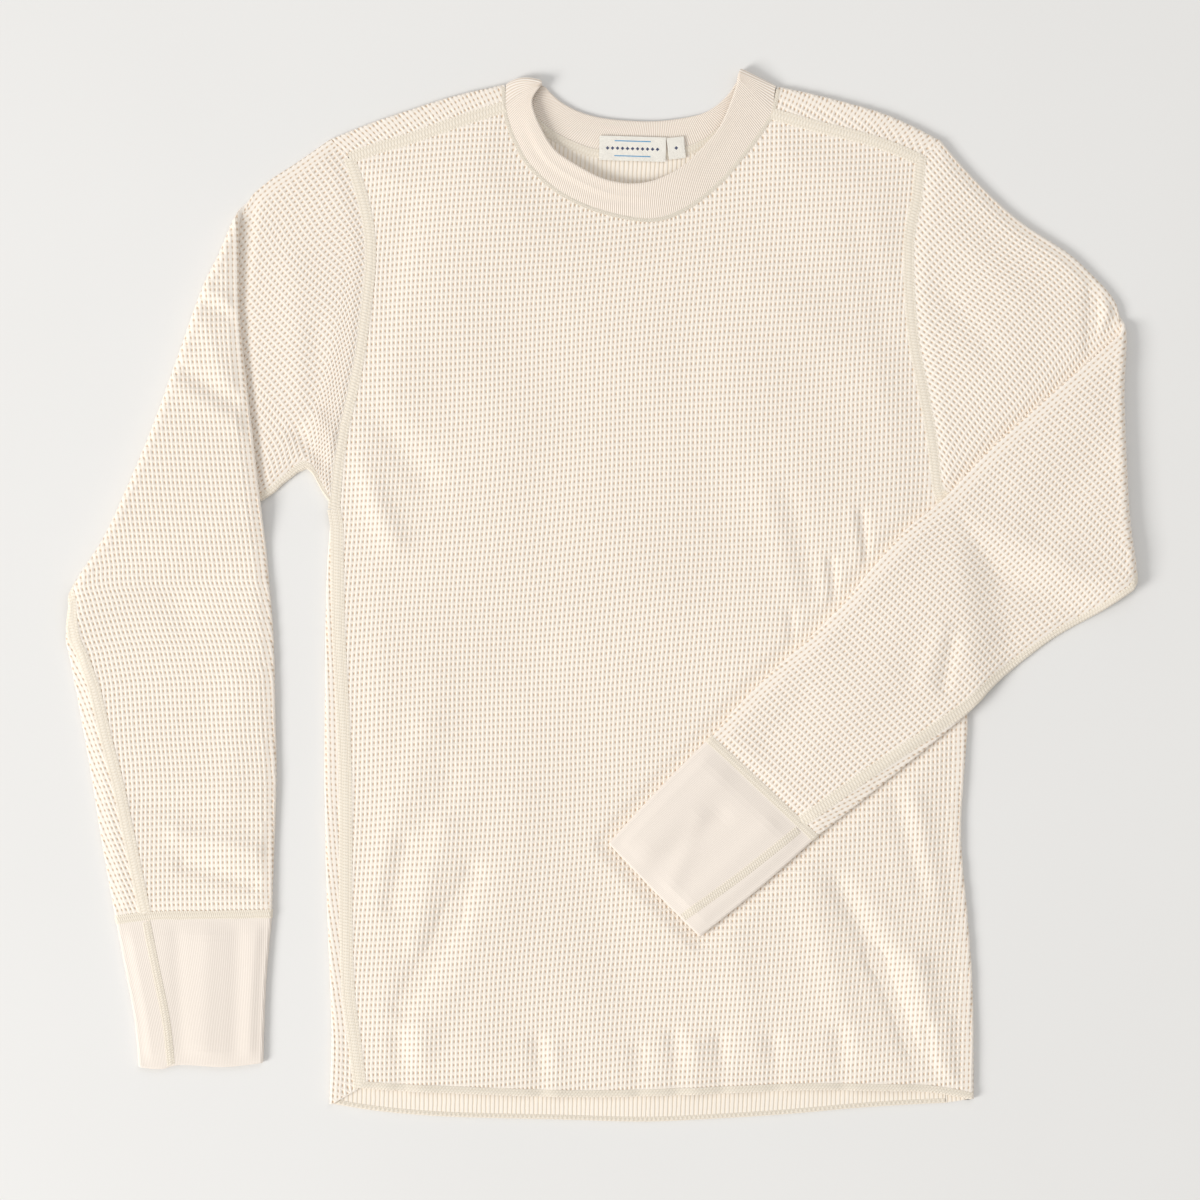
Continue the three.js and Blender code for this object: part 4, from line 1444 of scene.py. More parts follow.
class Piece:
    """A piece of the top, from its flat cloth to its finished object."""

    def __init__(self, name: str, cloth: bmesh.types.BMesh) -> None:
        """Takes the flat cloth.

        Args:
            name: The piece's name.
            cloth: The flat cloth in millimetres. Its vertices may hold knit, their place in the knit.
        """
        self.name = name
        self.cloth = cloth
        self.object: bpy.types.Object | None = None

    def lay(self, way: Lay, flat_points: Points | None = None) -> "Piece":
        """Lays the piece and makes its object.

        Args:
            way: How it is laid.
            flat_points: Its vertices' places on the flat cloth, where they aren't in the cloth itself.

        Returns:
            The piece.
        """
        mesh = bpy.data.meshes.new(self.name)
        self.cloth.to_mesh(mesh)
        self.cloth.free()
        count = len(mesh.vertices)
        own = np.empty(count * 3)
        mesh.vertices.foreach_get("co", own)
        flat = own.reshape(-1, 3) if flat_points is None else flat_points
        placed = way.place(flat) * MM
        placed[:, 2] = np.maximum(placed[:, 2], 0)
        mesh.vertices.foreach_set("co", placed.astype(np.float32).ravel())
        laid = bmesh.new()
        laid.from_mesh(mesh)
        if laid.calc_volume(signed=True) < 0:
            bmesh.ops.reverse_faces(laid, faces=laid.faces)
        laid.to_mesh(mesh)
        laid.free()
        self.object = bpy.data.objects.new(self.name, mesh)
        bpy.context.scene.collection.objects.link(self.object)
        return self

    def dress(self, slot: str, node: str | None, *materials: bpy.types.Material) -> "Piece":
        """Gives the piece its finish and its place in the frame.

        Args:
            slot: The finish's slot; not used.
            node: The solid that the piece stands for, if it stands for one.
            materials: The finishes, the outer side's first.

        Returns:
            The piece.
        """
        for material in materials:
            self.object.data.materials.append(material)
        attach(self.object, "root")
        if node:
            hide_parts(node)
        logging.info("%s: %d faces", self.name, len(self.object.data.polygons))
        return self


def warp(plan: Points, wander: float) -> Points:
    """Returns points moved as the knit wanders, in long soft waves."""
    x, y = plan.T
    return plan + np.column_stack([wander * wave(y, x, 41, 1, 67), wander * wave(x, y, 37, 1.4, 59)])


def cut_waffle(outline: Points, weave: Weave, way: Lay) -> bmesh.types.BMesh:
    """Cuts a waffle-knit piece from its flat outline.

    Args:
        outline: The piece's flat outline in millimetres.
        weave: The cells.
        way: How the piece will be laid; its cells are divided where it bends.

    Returns:
        The flat cloth with its thickness and its pits. Its vertices hold their place in the knit, in cells.
    """
    low, high = outline.min(0), outline.max(0)
    pad = PAD_SHARE * float((high - low).max()) * bool(weave.course_lean)
    size = high - low + 2 * max(PAD_LEAST, pad)
    columns, rows = int(size[0] / weave.wale) + 1, int(size[1] / weave.course) + 1
    cloth = flat_grid(columns, rows)
    wale, course = math.radians(weave.wale_lean), math.radians(weave.course_lean)
    grain = np.array([
        [weave.wale * math.cos(course), weave.course * math.sin(wale)],
        [weave.wale * math.sin(course), weave.course * math.cos(wale)],
    ])
    middle, half = (low + high) / 2, np.array([columns, rows]) / 2
    bmesh.ops.scale(cloth, vec=(columns, rows, 1), verts=cloth.verts)
    cells = np.array([f.calc_center_median()[:2] for f in cloth.faces])
    places = warp(cells @ grain.T + middle, weave.wander)
    keep = within(places, outline)
    tight, bent = (
        {e for f, chosen in zip(cloth.faces, keep & found) if chosen for e in f.edges}
        for found in (way.tight(places), way.bends(places))
    )
    bmesh.ops.delete(cloth, geom=[f for f, kept in zip(cloth.faces, keep) if not kept], context="FACES")
    for edges, cuts in ((tight, 3), (bent - tight, 1)):
        whole = [e for e in edges if e.is_valid]
        bmesh.ops.subdivide_edges(cloth, edges=whole, cuts=cuts, use_grid_fill=True)
    bmesh.ops.triangulate(cloth, faces=[f for f in cloth.faces if len(f.verts) > 4])
    knit = cloth.verts.layers.float_vector.new("knit")
    depth = cloth.verts.layers.float.new("depth")
    cells = np.array([v.co[:2] for v in cloth.verts])
    chance = np.random.default_rng(SEED)
    plan = warp(cells @ grain.T + middle, weave.wander)
    plan += weave.jitter * chance.standard_normal(plan.shape)
    cells += half
    for vertex, (x, y), (i, j) in zip(cloth.verts, plan, cells):
        vertex.co = (x, y, 0)
        vertex[knit] = (i, j, 0)
        vertex[depth] = (1 - 2 * abs(i % 1 - 0.5)) * (1 - 2 * abs(j % 1 - 0.5))
    rim = [v for v in cloth.verts if v.is_boundary]
    closed = np.vstack([outline, outline[:1]])
    _, foot, _ = nearest(np.array([v.co[:2] for v in rim]), closed)
    for vertex, (x, y) in zip(rim, foot):
        vertex.co = (x, y, 0)
    bmesh.ops.remove_doubles(cloth, verts=rim, dist=RIM_MERGE)
    outer, inner = thicken(cloth)
    for face in inner:
        face.material_index = 1
        for vertex in face.verts:
            vertex.co.z = -LIE.wall / 2
    for vertex in {v for f in outer for v in f.verts}:
        vertex.co.z = LIE.wall / 2 - weave.pit * vertex[depth] * (not vertex.is_boundary)
    cell = weave.wale * weave.course
    whole = [f for f in outer if not any(v[depth] > CREST_DEPTH for v in f.verts)]
    for vertex in bmesh.ops.poke(cloth, faces=whole, center_mode="MEAN")["verts"]:
        share = min(1.0, sum(f.calc_area() for f in vertex.link_faces) / cell)
        vertex.co.z -= weave.pit * share * share
        around = [e.other_vert(vertex)[knit] for e in vertex.link_edges]
        vertex[knit] = sum(around[1:], around[0]) / len(around)
        vertex[depth] = share
    return cloth


def cut_ribbed(ribs: int, rows: int, groove: float, rim: float) -> tuple[bmesh.types.BMesh, Points]:
    """Cuts a closed band of rib knit with its grooves on both sides and its free edge rounded.

    Args:
        ribs: How many ribs go round it.
        rows: How many faces it has from one edge to the other.
        groove: How deep the grooves are.
        rim: The share of the band, from seam to free edge, that the rounded rows take up.

    Returns:
        The band as a tube, and its vertices' share round, share along and height over the middle.
    """
    band = bmesh.new()
    bmesh.ops.create_cone(band, cap_ends=False, segments=2 * ribs, radius1=1.0, radius2=1.0, depth=1.0)
    upright = [e for e in band.edges if abs(e.verts[0].co.z - e.verts[1].co.z) > 0.5]
    bmesh.ops.subdivide_edges(band, edges=upright, cuts=rows - 1, use_grid_fill=True)
    depth = band.verts.layers.float.new("depth")
    knit = band.verts.layers.float_vector.new("knit")
    _, inner = thicken(band)
    band.verts.index_update()
    under = {v.index for f in inner for v in f.verts}
    flat = np.empty((len(band.verts), 3))
    half = LIE.wall / 2
    rounded = (len(RIM_ROUNDS) - 1) / rows
    tail = np.linspace(1 - rounded, 1, len(RIM_ROUNDS))
    for vertex in band.verts:
        share = math.atan2(vertex.co.y, vertex.co.x) / (2 * math.pi) % 1.0
        along = vertex.co.z + 0.5
        column = round(share * 2 * ribs)
        thick = half * float(np.interp(along, tail, RIM_ROUNDS))
        low = column % 2
        # depth marks the grooves, where the rib's finish paints shade.
        vertex[depth] = float(low)
        vertex[knit] = (share * ribs, along * rows, 0)
        over = thick - groove * low
        flat[vertex.index] = (share, along, -over if vertex.index in under else over)
    return band, even_ends(flat, 1 - rounded, rim)


def even_ends(flat: Points, share: float, width: float) -> Points:
    """Moves the last rows of a band's flat places close to its free edge.

    Args:
        flat: Share round, share along and height over the middle.
        share: The share along where the last rows start.
        width: The share along that those rows then take up.

    Returns:
        The changed places.
    """
    moved = flat.copy()
    along = flat[:, 1]
    last = along > share
    moved[last, 1] = 1 - width + (along[last] - share) / (1 - share) * width
    moved[~last, 1] = along[~last] / share * (1 - width)
    return moved


class Sewing:
    """The top's seams: bands of thread that follow the cloth.

    A band is across faces wide and reaches sunk millimetres into the cloth. Where it wraps an edge, that
    starts at wrap_from of half its width and runs over wrap_run of it.
    """

    across = 8
    sunk = 0.5
    wrap_from = 0.7
    wrap_run = 0.3

    def __init__(self, material: bpy.types.Material) -> None:
        """Takes the thread's finish."""
        self.material = material

    def band(
        self,
        name: str,
        way: Lay,
        path: Points,
        wide: float,
        base: float = LIE.wall / 2,
        high: float = 0.45,
        pitch: float = 2.3,
        lean: float = 0.5,
        wrap: float = 0.0,
        scallop: float = 0.0,
    ) -> bpy.types.Object:
        """Sews a band of thread along a line on flat cloth.

        Args:
            name: The piece's name.
            way: How the cloth under it is laid.
            path: The line on the flat cloth.
            wide: The band's width.
            base: The height of the cloth's outer side over its middle.
            high: How far the thread stands over the cloth.
            pitch: The distance between threads.
            lean: How far a thread leans over the band's width, in threads.
            wrap: How far the band's right side reaches down over the cloth's edge.
            scallop: How far that side draws in between threads.

        Returns:
            The band's object.
        """
        length = float(run_of(path)[-1])
        threads = max(4, int(length / pitch))
        cloth = flat_grid(2 * threads, self.across)
        depth = cloth.verts.layers.float.new("depth")
        knit = cloth.verts.layers.float_vector.new("knit")
        line = even_line(path, 2 * threads)
        along = np.gradient(line, axis=0)
        along /= np.linalg.norm(along, axis=1)[:, None]
        left = np.stack([-along[:, 1], along[:, 0]], 1)
        _, inner = thicken(cloth)
        cloth.verts.index_update()
        under = {v.index for f in inner for v in f.verts}
        flat = np.empty((len(cloth.verts), 3))
        for vertex in cloth.verts:
            k = round((vertex.co.x + 0.5) * 2 * threads)
            side = vertex.co.y * 2
            crown = (1 - abs(side) ** 3) ** 0.5 if abs(side) < 1 else 0.0
            needle = 0.5 + 0.5 * math.cos(side * 2 * math.pi)
            gap = 0.5 + 0.5 * math.cos(math.pi * (k + lean * side * 2))
            over = base + high * (0.25 + 0.75 * crown) - 0.3 * high * gap - 0.25 * high * (1 - needle)
            down = wrap * max(0.0, -side - self.wrap_from) / self.wrap_run
            over = base - self.sunk - down if vertex.index in under else over - down
            place = line[k] + left[k] * (side * wide / 2 + scallop * gap * max(0.0, -side))
            flat[vertex.index] = (place[0], place[1], over)
            # depth marks the gaps between threads and beside the needle lines, where the thread's finish
            # paints shade.
            vertex[depth] = 0.75 * gap + 0.25 * (1 - needle)
            vertex[knit] = ((k + lean * side * 2) / 2, side * 2, 0)
        return Piece(name, cloth).lay(way, flat).dress("seam_thread", None, self.material).object


@dataclass
class Body:
    """The front and the back with their seams and hems.

    The widths are the side seam's, the joints' at shoulders and armholes, the front hem's, the back hem's,
    the neck seam's and the neck tape's. over_edge is how far a band at an edge is set past that edge.
    """

    weave: Weave = Weave(wale_lean=3.0, course_lean=5.0)
    seam_wide: float = 9.6
    joint_wide: float = 8.4
    hem_wide: float = 5.6
    edge_wide: float = 4.0
    neck_wide: float = 3.0
    tape_wide: float = 6.4
    over_edge: float = 0.6
    front_lay: PanelLay = field(init=False)
    back_lay: PanelLay = field(init=False)
    front_outline: Points = field(init=False)
    back_outline: Points = field(init=False)
    front_hem: Points = field(init=False)
    back_hem: Points = field(init=False)

    def __post_init__(self) -> None:
        """Works out both panels' flat outlines."""
        gap = LIE.seam_gap / 2
        turn_left = Turn(SIDE_LEFT[0], -1, SIDE_SPARE)
        turn_right = Turn(SIDE_RIGHT[0], 1, SIDE_SPARE)
        over_right = Turn(SHOULDER_RIGHT[0], 1, SHOULDER_SPARE)
        over_left = Turn(SHOULDER_LEFT[0], -1, SHOULDER_SPARE)
        hem = smooth_line([SIDE_RIGHT[1][0], *HEM_FRONT, turn_left.start[1]], HEM_STEPS)
        armholes = (ARM_RIGHT + (gap, 0), ARM_LEFT - (gap, 0))
        neck = beside(NECK_LOW, -gap)
        side_left = turn_left.strip(SIDE_LEFT[1] + (gap, 0))
        self.front_outline = np.vstack([
            SIDE_RIGHT[1] + (gap, 0), armholes[0][::-1], SHOULDER_RIGHT[1][1:-1] + (gap, -gap), neck,
            SHOULDER_LEFT[1][::-1][1:-1] + (-gap, -gap), armholes[1], side_left[::-1], hem[::-1][1:-1],
        ])
        border = np.vstack([
            SIDE_RIGHT[1], ARM_RIGHT[::-1], SHOULDER_RIGHT[1][1:-1], NECK_LOW,
            SHOULDER_LEFT[1][::-1][1:-1], ARM_LEFT, turn_left.start[::-1][1:-1], hem[::-1],
            SIDE_RIGHT[1][:1],
        ])
        self.front_lay = PanelLay(LIE.high, 1, (turn_left,), border, hem)
        self.front_hem = hem
        self.back_hem = smooth_line([turn_right.start[1], *HEM_BACK, SIDE_LEFT[1][0]], HEM_STEPS)
        self.back_outline = np.vstack([
            turn_right.strip(SIDE_RIGHT[1] - (gap, 0)), armholes[0][::-1],
            over_right.strip(SHOULDER_RIGHT[1] + (0, gap)), beside(NECK_HIGH, -gap),
            over_left.strip(SHOULDER_LEFT[1] + (0, gap))[::-1], armholes[1],
            SIDE_LEFT[1][::-1] - (gap, 0), self.back_hem[::-1][1:-1],
        ])
        self.back_lay = PanelLay(LIE.low, -1, (turn_right, over_right, over_left))

    def build(self, outer: bpy.types.Material, reverse: bpy.types.Material, sewing: Sewing) -> None:
        """Builds the two panels, their seams and their hems.

        Args:
            outer: The waffle's finish.
            reverse: The finish of its inside.
            sewing: What sews the seams.
        """
        front = Piece("front_panel", cut_waffle(self.front_outline, self.weave, self.front_lay))
        front.lay(self.front_lay).dress("waffle_knit", "front", outer, reverse)
        back = Piece("back_panel", cut_waffle(self.back_outline, self.weave, self.back_lay))
        back.lay(self.back_lay).dress("waffle_knit", "back", outer, reverse)
        level = LevelLay(LIE.high)
        side = np.vstack([SIDE_RIGHT[1], ARM_RIGHT[-1:]])
        top = (SHOULDER_RIGHT[0][-1:] - (0, LIE.reach), SHOULDER_LEFT[0][-1:] - (0, LIE.reach))
        neck_seam = beside(np.vstack([top[0], NECK_LOW, top[1]]), -self.over_edge)
        first, last = ARM_LEFT_ENDS
        arm_left = np.vstack([ARM_LEFT[:1] + first, ARM_LEFT, ARM_LEFT[-1:] + last])
        hem_front = beside(self.front_hem, self.hem_wide / 2 - self.over_edge)
        hem_back = beside(self.back_hem, self.edge_wide / 2 - self.over_edge)
        seams = [
            sewing.band("side_seam_right", level, side, self.seam_wide),
            sewing.band("shoulder_seam_right", level, SHOULDER_RIGHT[1], self.joint_wide),
            sewing.band("shoulder_seam_left", level, SHOULDER_LEFT[1], self.joint_wide),
            sewing.band("armhole_seam_right", level, ARM_RIGHT, self.joint_wide),
            sewing.band("armhole_seam_left", level, arm_left, self.joint_wide),
            sewing.band("neck_seam", level, neck_seam, self.neck_wide, high=0.25, pitch=1.6),
            sewing.band(
                "front_hem", self.front_lay, hem_front, self.hem_wide,
                high=0.6, pitch=2.4, lean=0.9, wrap=1.9, scallop=0.7,
            ),
        ]
        inside = LevelLay(LIE.low)
        back_seams = [
            sewing.band(
                "back_hem", inside, hem_back, self.edge_wide,
                high=0.6, pitch=3.2, lean=0.3, wrap=1.9, scallop=1.0,
            ),
            sewing.band("neck_tape", inside, beside(NECK_HIGH, -3.0), self.tape_wide, high=0.4, pitch=2.2),
        ]


@dataclass
class Sleeve:
    """One sleeve: an upper arm, the fold, the forearm, its cuff and their seams.

    The widths are the underarm seam's, the cuff's joint and the cuff's own seam. cuff_groove is how deep
    the cuff's fine grooves are, and cuff_rim the share of it that its rounded end takes up.
    """

    side: Side
    creases: Sequence[Crease]
    cuff_creases: Sequence[Crease]
    weave: Weave = Weave(wander=1.0)
    across: int = 132
    cuff_ribs: int = 160
    cuff_rows: int = 26
    cuff_groove: float = 0.08
    cuff_rim: float = 0.014
    cuff_middle: float = 50.0
    seam_wide: float = 8.6
    join_wide: float = 6.4
    cuff_seam_wide: float = 5.8
    lay: TubeLay = field(init=False)
    cuff_lay: TubeLay = field(init=False)

    def __post_init__(self) -> None:
        """Works out how the sleeve and its cuff lie."""
        plan, outward = self.side.plan, self.side.outward
        line = even_line(self.side.armhole + (outward * LIE.seam_gap / 2, 0), self.across)
        outline = smooth_line(plan.fold, 3 * self.across)
        tangent = np.gradient(outline, axis=0)
        outs = np.stack([-tangent[:, 1], tangent[:, 0]], 1)
        outs /= np.linalg.norm(outs, axis=1)[:, None]
        outs *= np.where(outs[:, :1] * outward > 0, 1, -1)
        full = smoothstep(run_of(outline), 0, plan.slip)[:, None]
        inside = LIE.half_tube + LIE.fold_radius * full
        middle = np.hstack([outline - outs * inside, outs, outs * full])
        reach = run_of(middle[:, :2])
        even = np.linspace(0, reach[-1] - plan.slip, self.across + 1)

        def folded(share: float) -> list[Points]:
            """Finds where the cloth meets the fold.

            Args:
                share: How far over the fold the cloth is.

            Returns:
                The fold's middle line there, its outward directions and how far it reaches along them.
            """
            wanted = even + share * plan.slip
            found = np.stack([np.interp(wanted, reach, axis) for axis in middle.T], 1)
            return np.hsplit(found, 3)

        below, above = folded(0)[0], folded(1)[0]
        seam = smooth_line(plan.cuff_seam, self.across)
        upper = coons(
            line, below, smooth_line([line[0], *plan.top, below[0]], SHORT_STEPS),
            smooth_line([line[-1], *plan.under, below[-1]], SHORT_STEPS),
        )
        forearm = coons(
            above, seam, smooth_line([above[0], *plan.inner, seam[0]], FOREARM_STEPS),
            smooth_line([above[-1], *plan.outer, seam[-1]], FOREARM_STEPS),
        )
        rows, ups = [], []
        flat_up = np.tile([0.0, 0.0, 1.0], (self.across + 1, 1))
        for row in upper:
            rows.append(np.column_stack([row, np.full(len(row), LIE.half_tube)]))
            ups.append(flat_up)
        for turn in np.linspace(0, math.pi, FOLD_STEPS + 1)[1:-1]:
            axis, out, far = folded(turn / math.pi)
            aside, raised = math.sin(turn), -math.cos(turn)
            height = np.full(len(axis), LIE.fold_height + LIE.fold_radius * raised)
            rows.append(np.column_stack([axis + far * LIE.fold_radius * aside, height]))
            ups.append(np.column_stack([-out * aside, np.full(len(axis), -raised)]))
        for row in forearm:
            rows.append(self.raised(row))
            ups.append(-flat_up)
        self.lay = TubeLay(np.array(rows), np.array(ups), plan.slide, self.creases, plan.forearm())
        end = smooth_line(plan.cuff_end, self.across)
        start = seam + (end - seam) / np.linalg.norm(end - seam, axis=1)[:, None] * LIE.seam_gap / 2
        cuff = coons(
            start, end, smooth_line([start[0], *plan.cuff_inner, end[0]], SHORT_STEPS),
            smooth_line([start[-1], *plan.cuff_outer, end[-1]], SHORT_STEPS),
        )
        self.cuff_lay = TubeLay(
            np.array([self.raised(row) for row in cuff]), np.array([-flat_up] * len(cuff)),
            plan.cuff_slide, self.cuff_creases,
        )

    def raised(self, row: Points) -> Points:
        """Gives plan points of the forearm or the cuff their height."""
        return np.column_stack([row, LIE.half_tube + 2 * LIE.fold_radius * self.side.held_up(row)])

    def build(
        self,
        outer: bpy.types.Material,
        reverse: bpy.types.Material,
        rib: bpy.types.Material,
        sewing: Sewing,
    ) -> None:
        """Builds the sleeve, its cuff and their seams.

        Args:
            outer: The waffle's finish.
            reverse: The finish of its inside.
            rib: The cuff's finish.
            sewing: What sews the seams.
        """
        name = self.side.value
        outline = self.lay.outline()
        cloth = cut_waffle(outline, self.weave, self.lay)
        sleeve = Piece(f"sleeve_{name}_panel", cloth)
        sleeve.lay(self.lay).dress("waffle_knit", f"sleeve_{name}", outer, reverse)
        run = np.linspace(2, self.lay.corner()[1] - 3, 160)
        under = np.column_stack([self.lay.half(run), run])
        around = np.linspace(-1, 1, 200) * float(self.lay.half(np.array([0.0]))[0])
        join = np.column_stack([around, np.zeros(200)])
        seams = [
            sewing.band(f"underarm_seam_{name}", self.lay, under, self.seam_wide),
            sewing.band(f"cuff_join_{name}", self.lay, join, self.join_wide, high=0.5, pitch=1.5),
        ]
        self.build_cuff(rib, sewing)

    def build_cuff(self, rib: bpy.types.Material, sewing: Sewing) -> None:
        """Builds the ribbed cuff and its seam.

        Args:
            rib: The cuff's finish.
            sewing: What sews the seam.
        """
        name = self.side.value
        band, shares = cut_ribbed(self.cuff_ribs, self.cuff_rows, self.cuff_groove, self.cuff_rim)
        half = float(self.cuff_lay.half(np.array([self.cuff_middle]))[0])
        along = np.full(len(shares), self.cuff_middle)
        for _ in range(4):
            across = (shares[:, 0] * 2 - 1) * self.cuff_lay.half(along)
            long = self.cuff_lay.cap(across)
            along = long * (1 - shares[:, 1])
        flat = np.column_stack([across, along, shares[:, 2]])
        cuff = Piece(f"cuff_{name}_band", band).lay(self.cuff_lay, flat)
        cuff.dress("rib_knit", f"cuff_{name}", rib)
        run = np.linspace(1.5, float(long.mean()) - 2, 60)
        seam = np.column_stack([self.cuff_lay.half(run), run])
        stitched = sewing.band(
            f"cuff_seam_{name}", self.cuff_lay, seam, self.cuff_seam_wide, high=0.5, pitch=1.8
        )


@dataclass
class Neck:
    """The neck's rib band, the woven label and the small tab.

    folds holds the band's two corners: at the seam, at the free edge, and how far it is rounded between
    them, over fold_reach. groove is how deep its fine grooves are, and rim the share of it that its rounded
    edge takes up. creases holds soft creases along it: where round it, how far up it, how wide and how high.
    A label's size is its middle, width, depth and turn in degrees, and puff is how far it bulges.
    """

    ribs: int = 330
    rows: int = 14
    groove: float = 0.22
    rim: float = 0.05
    folds: tuple = (((125.6, 367), (100, 379.4), (0, 0)), ((-69.4, 368), (-43.5, 371), (-1.5, 3.4)))
    fold_reach: float = 14.0
    fold_stations: int = 11
    label_size: tuple[float, float, float, float, float] = (22, 321.5, 48, 17.6, -1.7)
    tab_size: tuple[float, float, float, float, float] = (53.5, 322, 12.4, 15.6, 6)
    thick: float = 0.8
    puff: float = 0.12
    creases: tuple = (
        ((0.04, 0.30), 0.42, 0.13, -0.5),
        ((0.10, 0.34), 0.74, 0.10, -0.35),
        ((0.06, 0.26), 0.60, 0.10, 0.3),
        ((0.34, 0.48), 0.55, 0.16, -0.3),
        ((0.02, 0.12), 0.70, 0.16, 0.4),
    )

    def ring(self) -> RingLay:
        """Works out how the band lies.

        Returns:
            The way to lay it, front first and then round the wearer's left fold to the back.
        """
        seam_front, seam_back = beside(NECK_LOW, LIE.rib_gap), beside(NECK_HIGH, LIE.rib_gap)[::-1]
        free_front = smooth_line(FREE_FRONT, NECK_STEPS)
        free_back = smooth_line(FREE_BACK, NECK_STEPS)[::-1]
        seam, free = [], []

        def station(low: Points, high: Points, low_z: float, high_z: float) -> None:
            """Adds a row of stations at two heights."""
            seam.append(np.column_stack([low, np.full(len(low), low_z)]))
            free.append(np.column_stack([high, np.full(len(high), high_z)]))

        def roll(ends: tuple, sign: float) -> None:
            """Adds the stations of a fold.

            Args:
                ends: The fold's corners at the seam and at the free edge.
                sign: 1 where it turns from the front to the back, and -1 where it turns back.
            """
            low, high = np.array(ends[0], float), np.array(ends[1], float)
            along = high - low
            out = np.array([-along[1], along[0]]) / np.hypot(*along)
            out = -out if out[1] < 0 else out
            free_low = LIE.low + LIE.air
            radii = ((LIE.high - LIE.low) / 2, (LIE.high + LIE.rib_rise - free_low) / 2)
            for turn in np.linspace(0, math.pi, self.fold_stations):
                for corner, radius, middle, into in (
                    (low, radii[0], LIE.low + radii[0], seam), (high, radii[1], free_low + radii[1], free),
                ):
                    place = corner + out * (radius * math.sin(turn) - radius - LIE.wall / 2)
                    height = middle + radius * sign * math.cos(turn)
                    into.append(np.array([[place[0], place[1], height]]))

        station(seam_front, free_front, LIE.high, LIE.high + LIE.rib_rise)
        roll(self.folds[0], 1)
        station(seam_back, free_back, LIE.low, LIE.low + LIE.air)
        roll(self.folds[1], -1)
        low, high = np.vstack(seam), np.vstack(free)
        bulge = np.zeros_like(low)
        for first, last, rounded in self.folds:
            away = np.linalg.norm((low + high)[:, :2] / 2 - np.add(first, last) / 2, axis=1)
            bulge[:, :2] += np.exp(-((away / self.fold_reach) ** 2))[:, None] * rounded
        return RingLay(low, high, bulge, self.creases)

    def build(self, rib: bpy.types.Material, label: bpy.types.Material, tab: bpy.types.Material) -> None:
        """Builds the band, the label and the tab.

        Args:
            rib: The band's finish.
            label: The label's finish.
            tab: The tab's finish.
        """
        way = self.ring()
        band, flat = cut_ribbed(self.ribs, self.rows, self.groove, self.rim)
        collar = Piece("neck_band", band).lay(way, flat)
        collar.dress("rib_knit", "neck_rib", rib)
        for name, node, size, material in (
            ("woven_neck_label", "neck_label", self.label_size, label),
            ("woven_size_tab", "size_tab", self.tab_size, tab),
        ):
            piece = self.cut_label(name, size)
            piece.dress("woven_label", node, material)

    def cut_label(self, name: str, size: tuple[float, float, float, float, float]) -> Piece:
        """Cuts and lays a label.

        Args:
            name: The piece's name.
            size: Its middle, width, depth and turn in degrees.

        Returns:
            The laid piece.
        """
        x, y, wide, deep, turn = size
        cloth = flat_grid(28, 12)
        knit = cloth.verts.layers.float_vector.new("knit")
        bmesh.ops.scale(cloth, vec=(wide, deep, 1), verts=cloth.verts)
        for vertex in cloth.verts:
            vertex[knit] = vertex.co
        outer, inner = thicken(cloth)
        for face in inner:
            for vertex in face.verts:
                vertex.co.z = -self.thick / 2
        for face in outer:
            for vertex in face.verts:
                edge = min(wide / 2 - abs(vertex.co.x), deep / 2 - abs(vertex.co.y))
                puff = self.puff * math.sin(vertex.co.x * 0.5) * math.cos(vertex.co.y * 0.4)
                vertex.co.z = self.thick / 2 + (puff if edge > 0.4 else -self.puff)
        angle = math.radians(turn)
        middle = LIE.wall + LIE.air + LIE.seam_gap + self.thick / 2
        return Piece(name, cloth).lay(TurnedLay(x, y, angle, middle))


@dataclass
class TurnedLay(Lay):
    """A small flat piece, turned and set down at one place."""

    x: float
    y: float
    angle: float
    middle: float

    def place(self, flat: Points) -> Points:
        """Turns the points and sets them down.

        Args:
            flat: Points across, along and over the middle of the flat piece.

        Returns:
            The points as laid, in millimetres.
        """
        c, s = math.cos(self.angle), math.sin(self.angle)
        across, along = flat[:, 0] * c - flat[:, 1] * s, flat[:, 0] * s + flat[:, 1] * c
        return np.column_stack([self.x + across, self.y + along, self.middle + flat[:, 2]])


@dataclass(frozen=True)
class Lamp:
    """A soft light: its name, where it stands, its width, its strength in watts and its colour."""

    name: str
    place: tuple[float, float, float]
    size: float
    power: float
    colour: tuple[float, float, float]

    def hang(self) -> None:
        """Adds the light, which faces the middle of the top."""
        lamp = bpy.data.lights.new(self.name, "AREA")
        lamp.size, lamp.energy, lamp.color = self.size, self.power, self.colour
        stand = bpy.data.objects.new(self.name, lamp)
        stand.location = self.place
        stand.rotation_euler = (-stand.location).to_track_quat("-Z", "Y").to_euler()
        bpy.context.scene.collection.objects.link(stand)


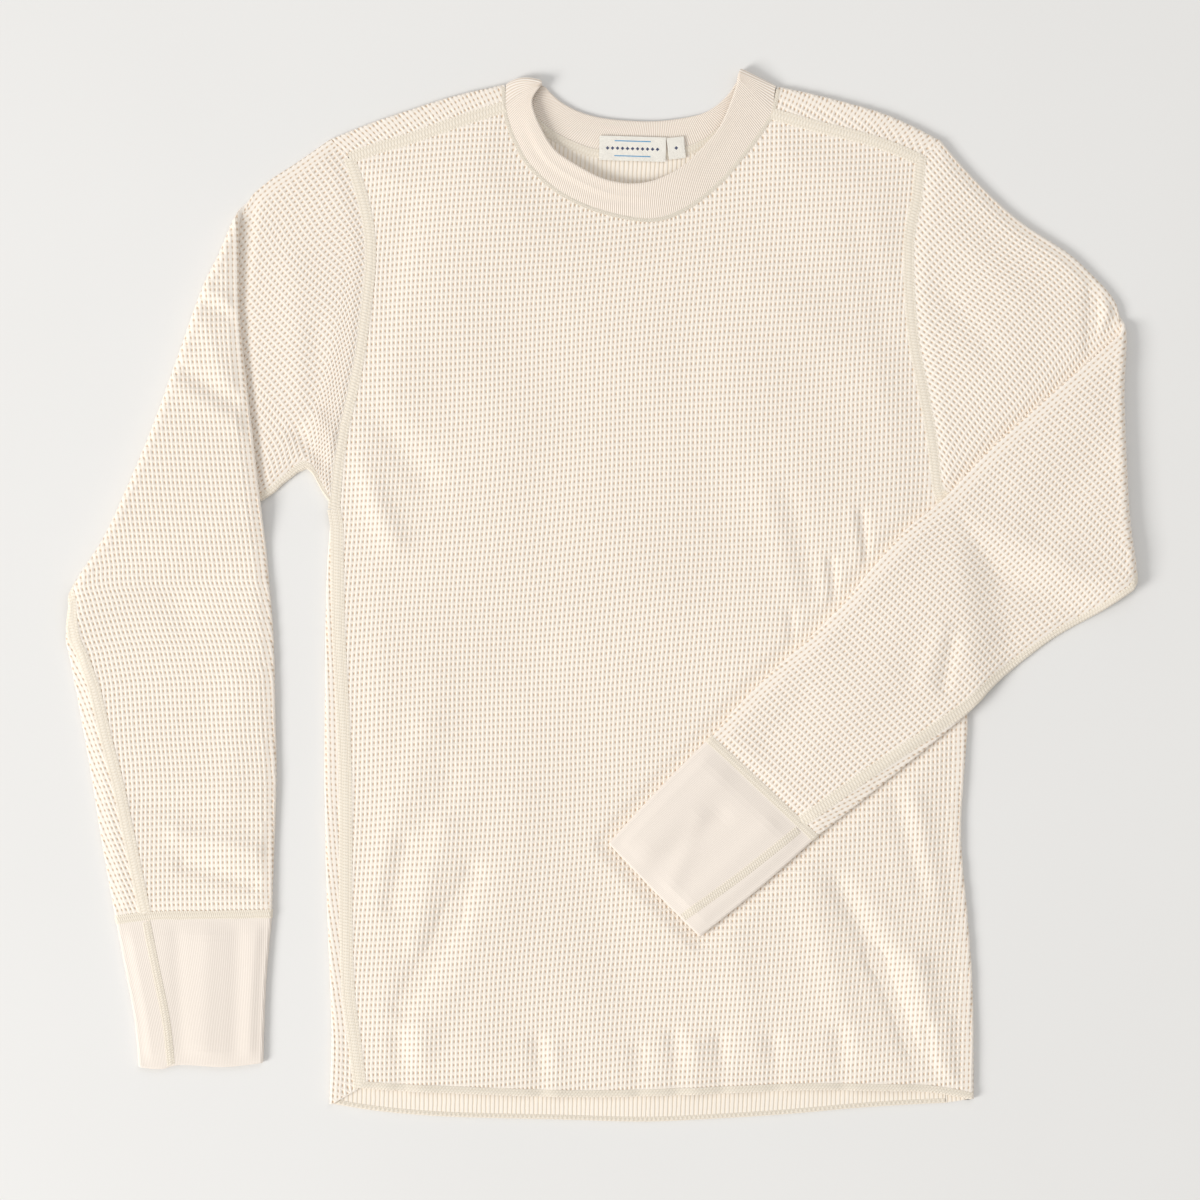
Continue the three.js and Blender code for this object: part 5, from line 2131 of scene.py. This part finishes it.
@dataclass
class Studio:
    """The pale floor, the soft lights and the camera straight above, in metres."""

    centre: tuple[float, float] = (-0.00144, -0.0036)
    view: float = 0.864
    height: float = 2.4
    floor_size: float = 6.0
    floor_level: float = -0.0002
    lamps: Sequence[Lamp] = (
        Lamp("key", (-4.95, -2.25, 3.3), 2.4, 322.0, (1.0, 0.985, 0.96)),
        Lamp("fill", (1.0, 2.4, 3.4), 3.0, 30.0, (0.97, 0.98, 1.0)),
    )
    sky: tuple[float, float, float, float] = (1.0, 0.99, 0.97, 1)
    sky_strength: float = 0.55

    def build(self) -> None:
        """Builds the floor, the lights and the camera."""
        floor = flat_grid(1, 1)
        bmesh.ops.scale(floor, vec=(self.floor_size, self.floor_size, 1), verts=floor.verts)
        bmesh.ops.translate(floor, vec=(0, 0, self.floor_level), verts=floor.verts)
        mesh = bpy.data.meshes.new("surface")
        floor.to_mesh(mesh)
        floor.free()
        surface = bpy.data.objects.new("surface", mesh)
        bpy.context.scene.collection.objects.link(surface)
        mesh.materials.append(self.floor_finish())
        for lamp in self.lamps:
            lamp.hang()
        world = bpy.data.worlds.new("studio")
        bpy.context.scene.world = world
        world.use_nodes = True
        sky = world.node_tree.nodes["Background"]
        sky.inputs["Color"].default_value = self.sky
        sky.inputs["Strength"].default_value = self.sky_strength
        camera = bpy.data.cameras.new("overhead")
        camera.lens = camera.sensor_width * (self.height - LIE.top * MM) / self.view
        seen = bpy.data.objects.new("overhead", camera)
        seen.location = (*self.centre, self.height)
        bpy.context.scene.collection.objects.link(seen)
        bpy.context.scene.camera = seen
        bpy.context.scene.view_settings.view_transform = "Standard"

    def floor_finish(self) -> bpy.types.Material:
        """Makes the floor's plain pale finish.

        Returns:
            The material.
        """
        material = bpy.data.materials.new("pale_floor")
        material.use_nodes = True
        shade = Shade(material.node_tree)
        surface = material.node_tree.nodes["Principled BSDF"]
        surface.inputs["Roughness"].default_value = 0.8
        place = shade.add("ShaderNodeTexCoord").outputs["Object"]
        cloud = shade.add("ShaderNodeTexNoise", {"Vector": place, "Scale": 3.0, "Detail": 3.0}).outputs[0]
        colour = shade.mix(cloud, (0.76, 0.755, 0.745, 1), (0.80, 0.797, 0.79, 1))
        shade.tree.links.new(colour, surface.inputs["Base Color"])
        return material


def main() -> None:
    """Builds the top in its studio."""
    logging.basicConfig(level=logging.INFO, format="%(message)s")
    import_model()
    shared = SharedKnit()
    waffle, reverse, cuff = WAFFLE.make(shared), REVERSE.make(shared), CUFF.make(shared)
    sewing = Sewing(THREAD.make(shared))
    Studio().build()
    Body().build(waffle, reverse, sewing)
    Sleeve(Side.RIGHT, SLEEVE_FOLDS_RIGHT, CUFF_FOLDS_RIGHT).build(waffle, reverse, cuff, sewing)
    Sleeve(Side.LEFT, SLEEVE_FOLDS_LEFT, CUFF_FOLDS_LEFT).build(waffle, reverse, cuff, sewing)
    Neck().build(RIB.make(shared), LABEL.make(shared), TAB.make(shared))
    bpy.context.view_layer.update()
    logging.info("the top is laid")


if __name__ == "__main__":
    main()
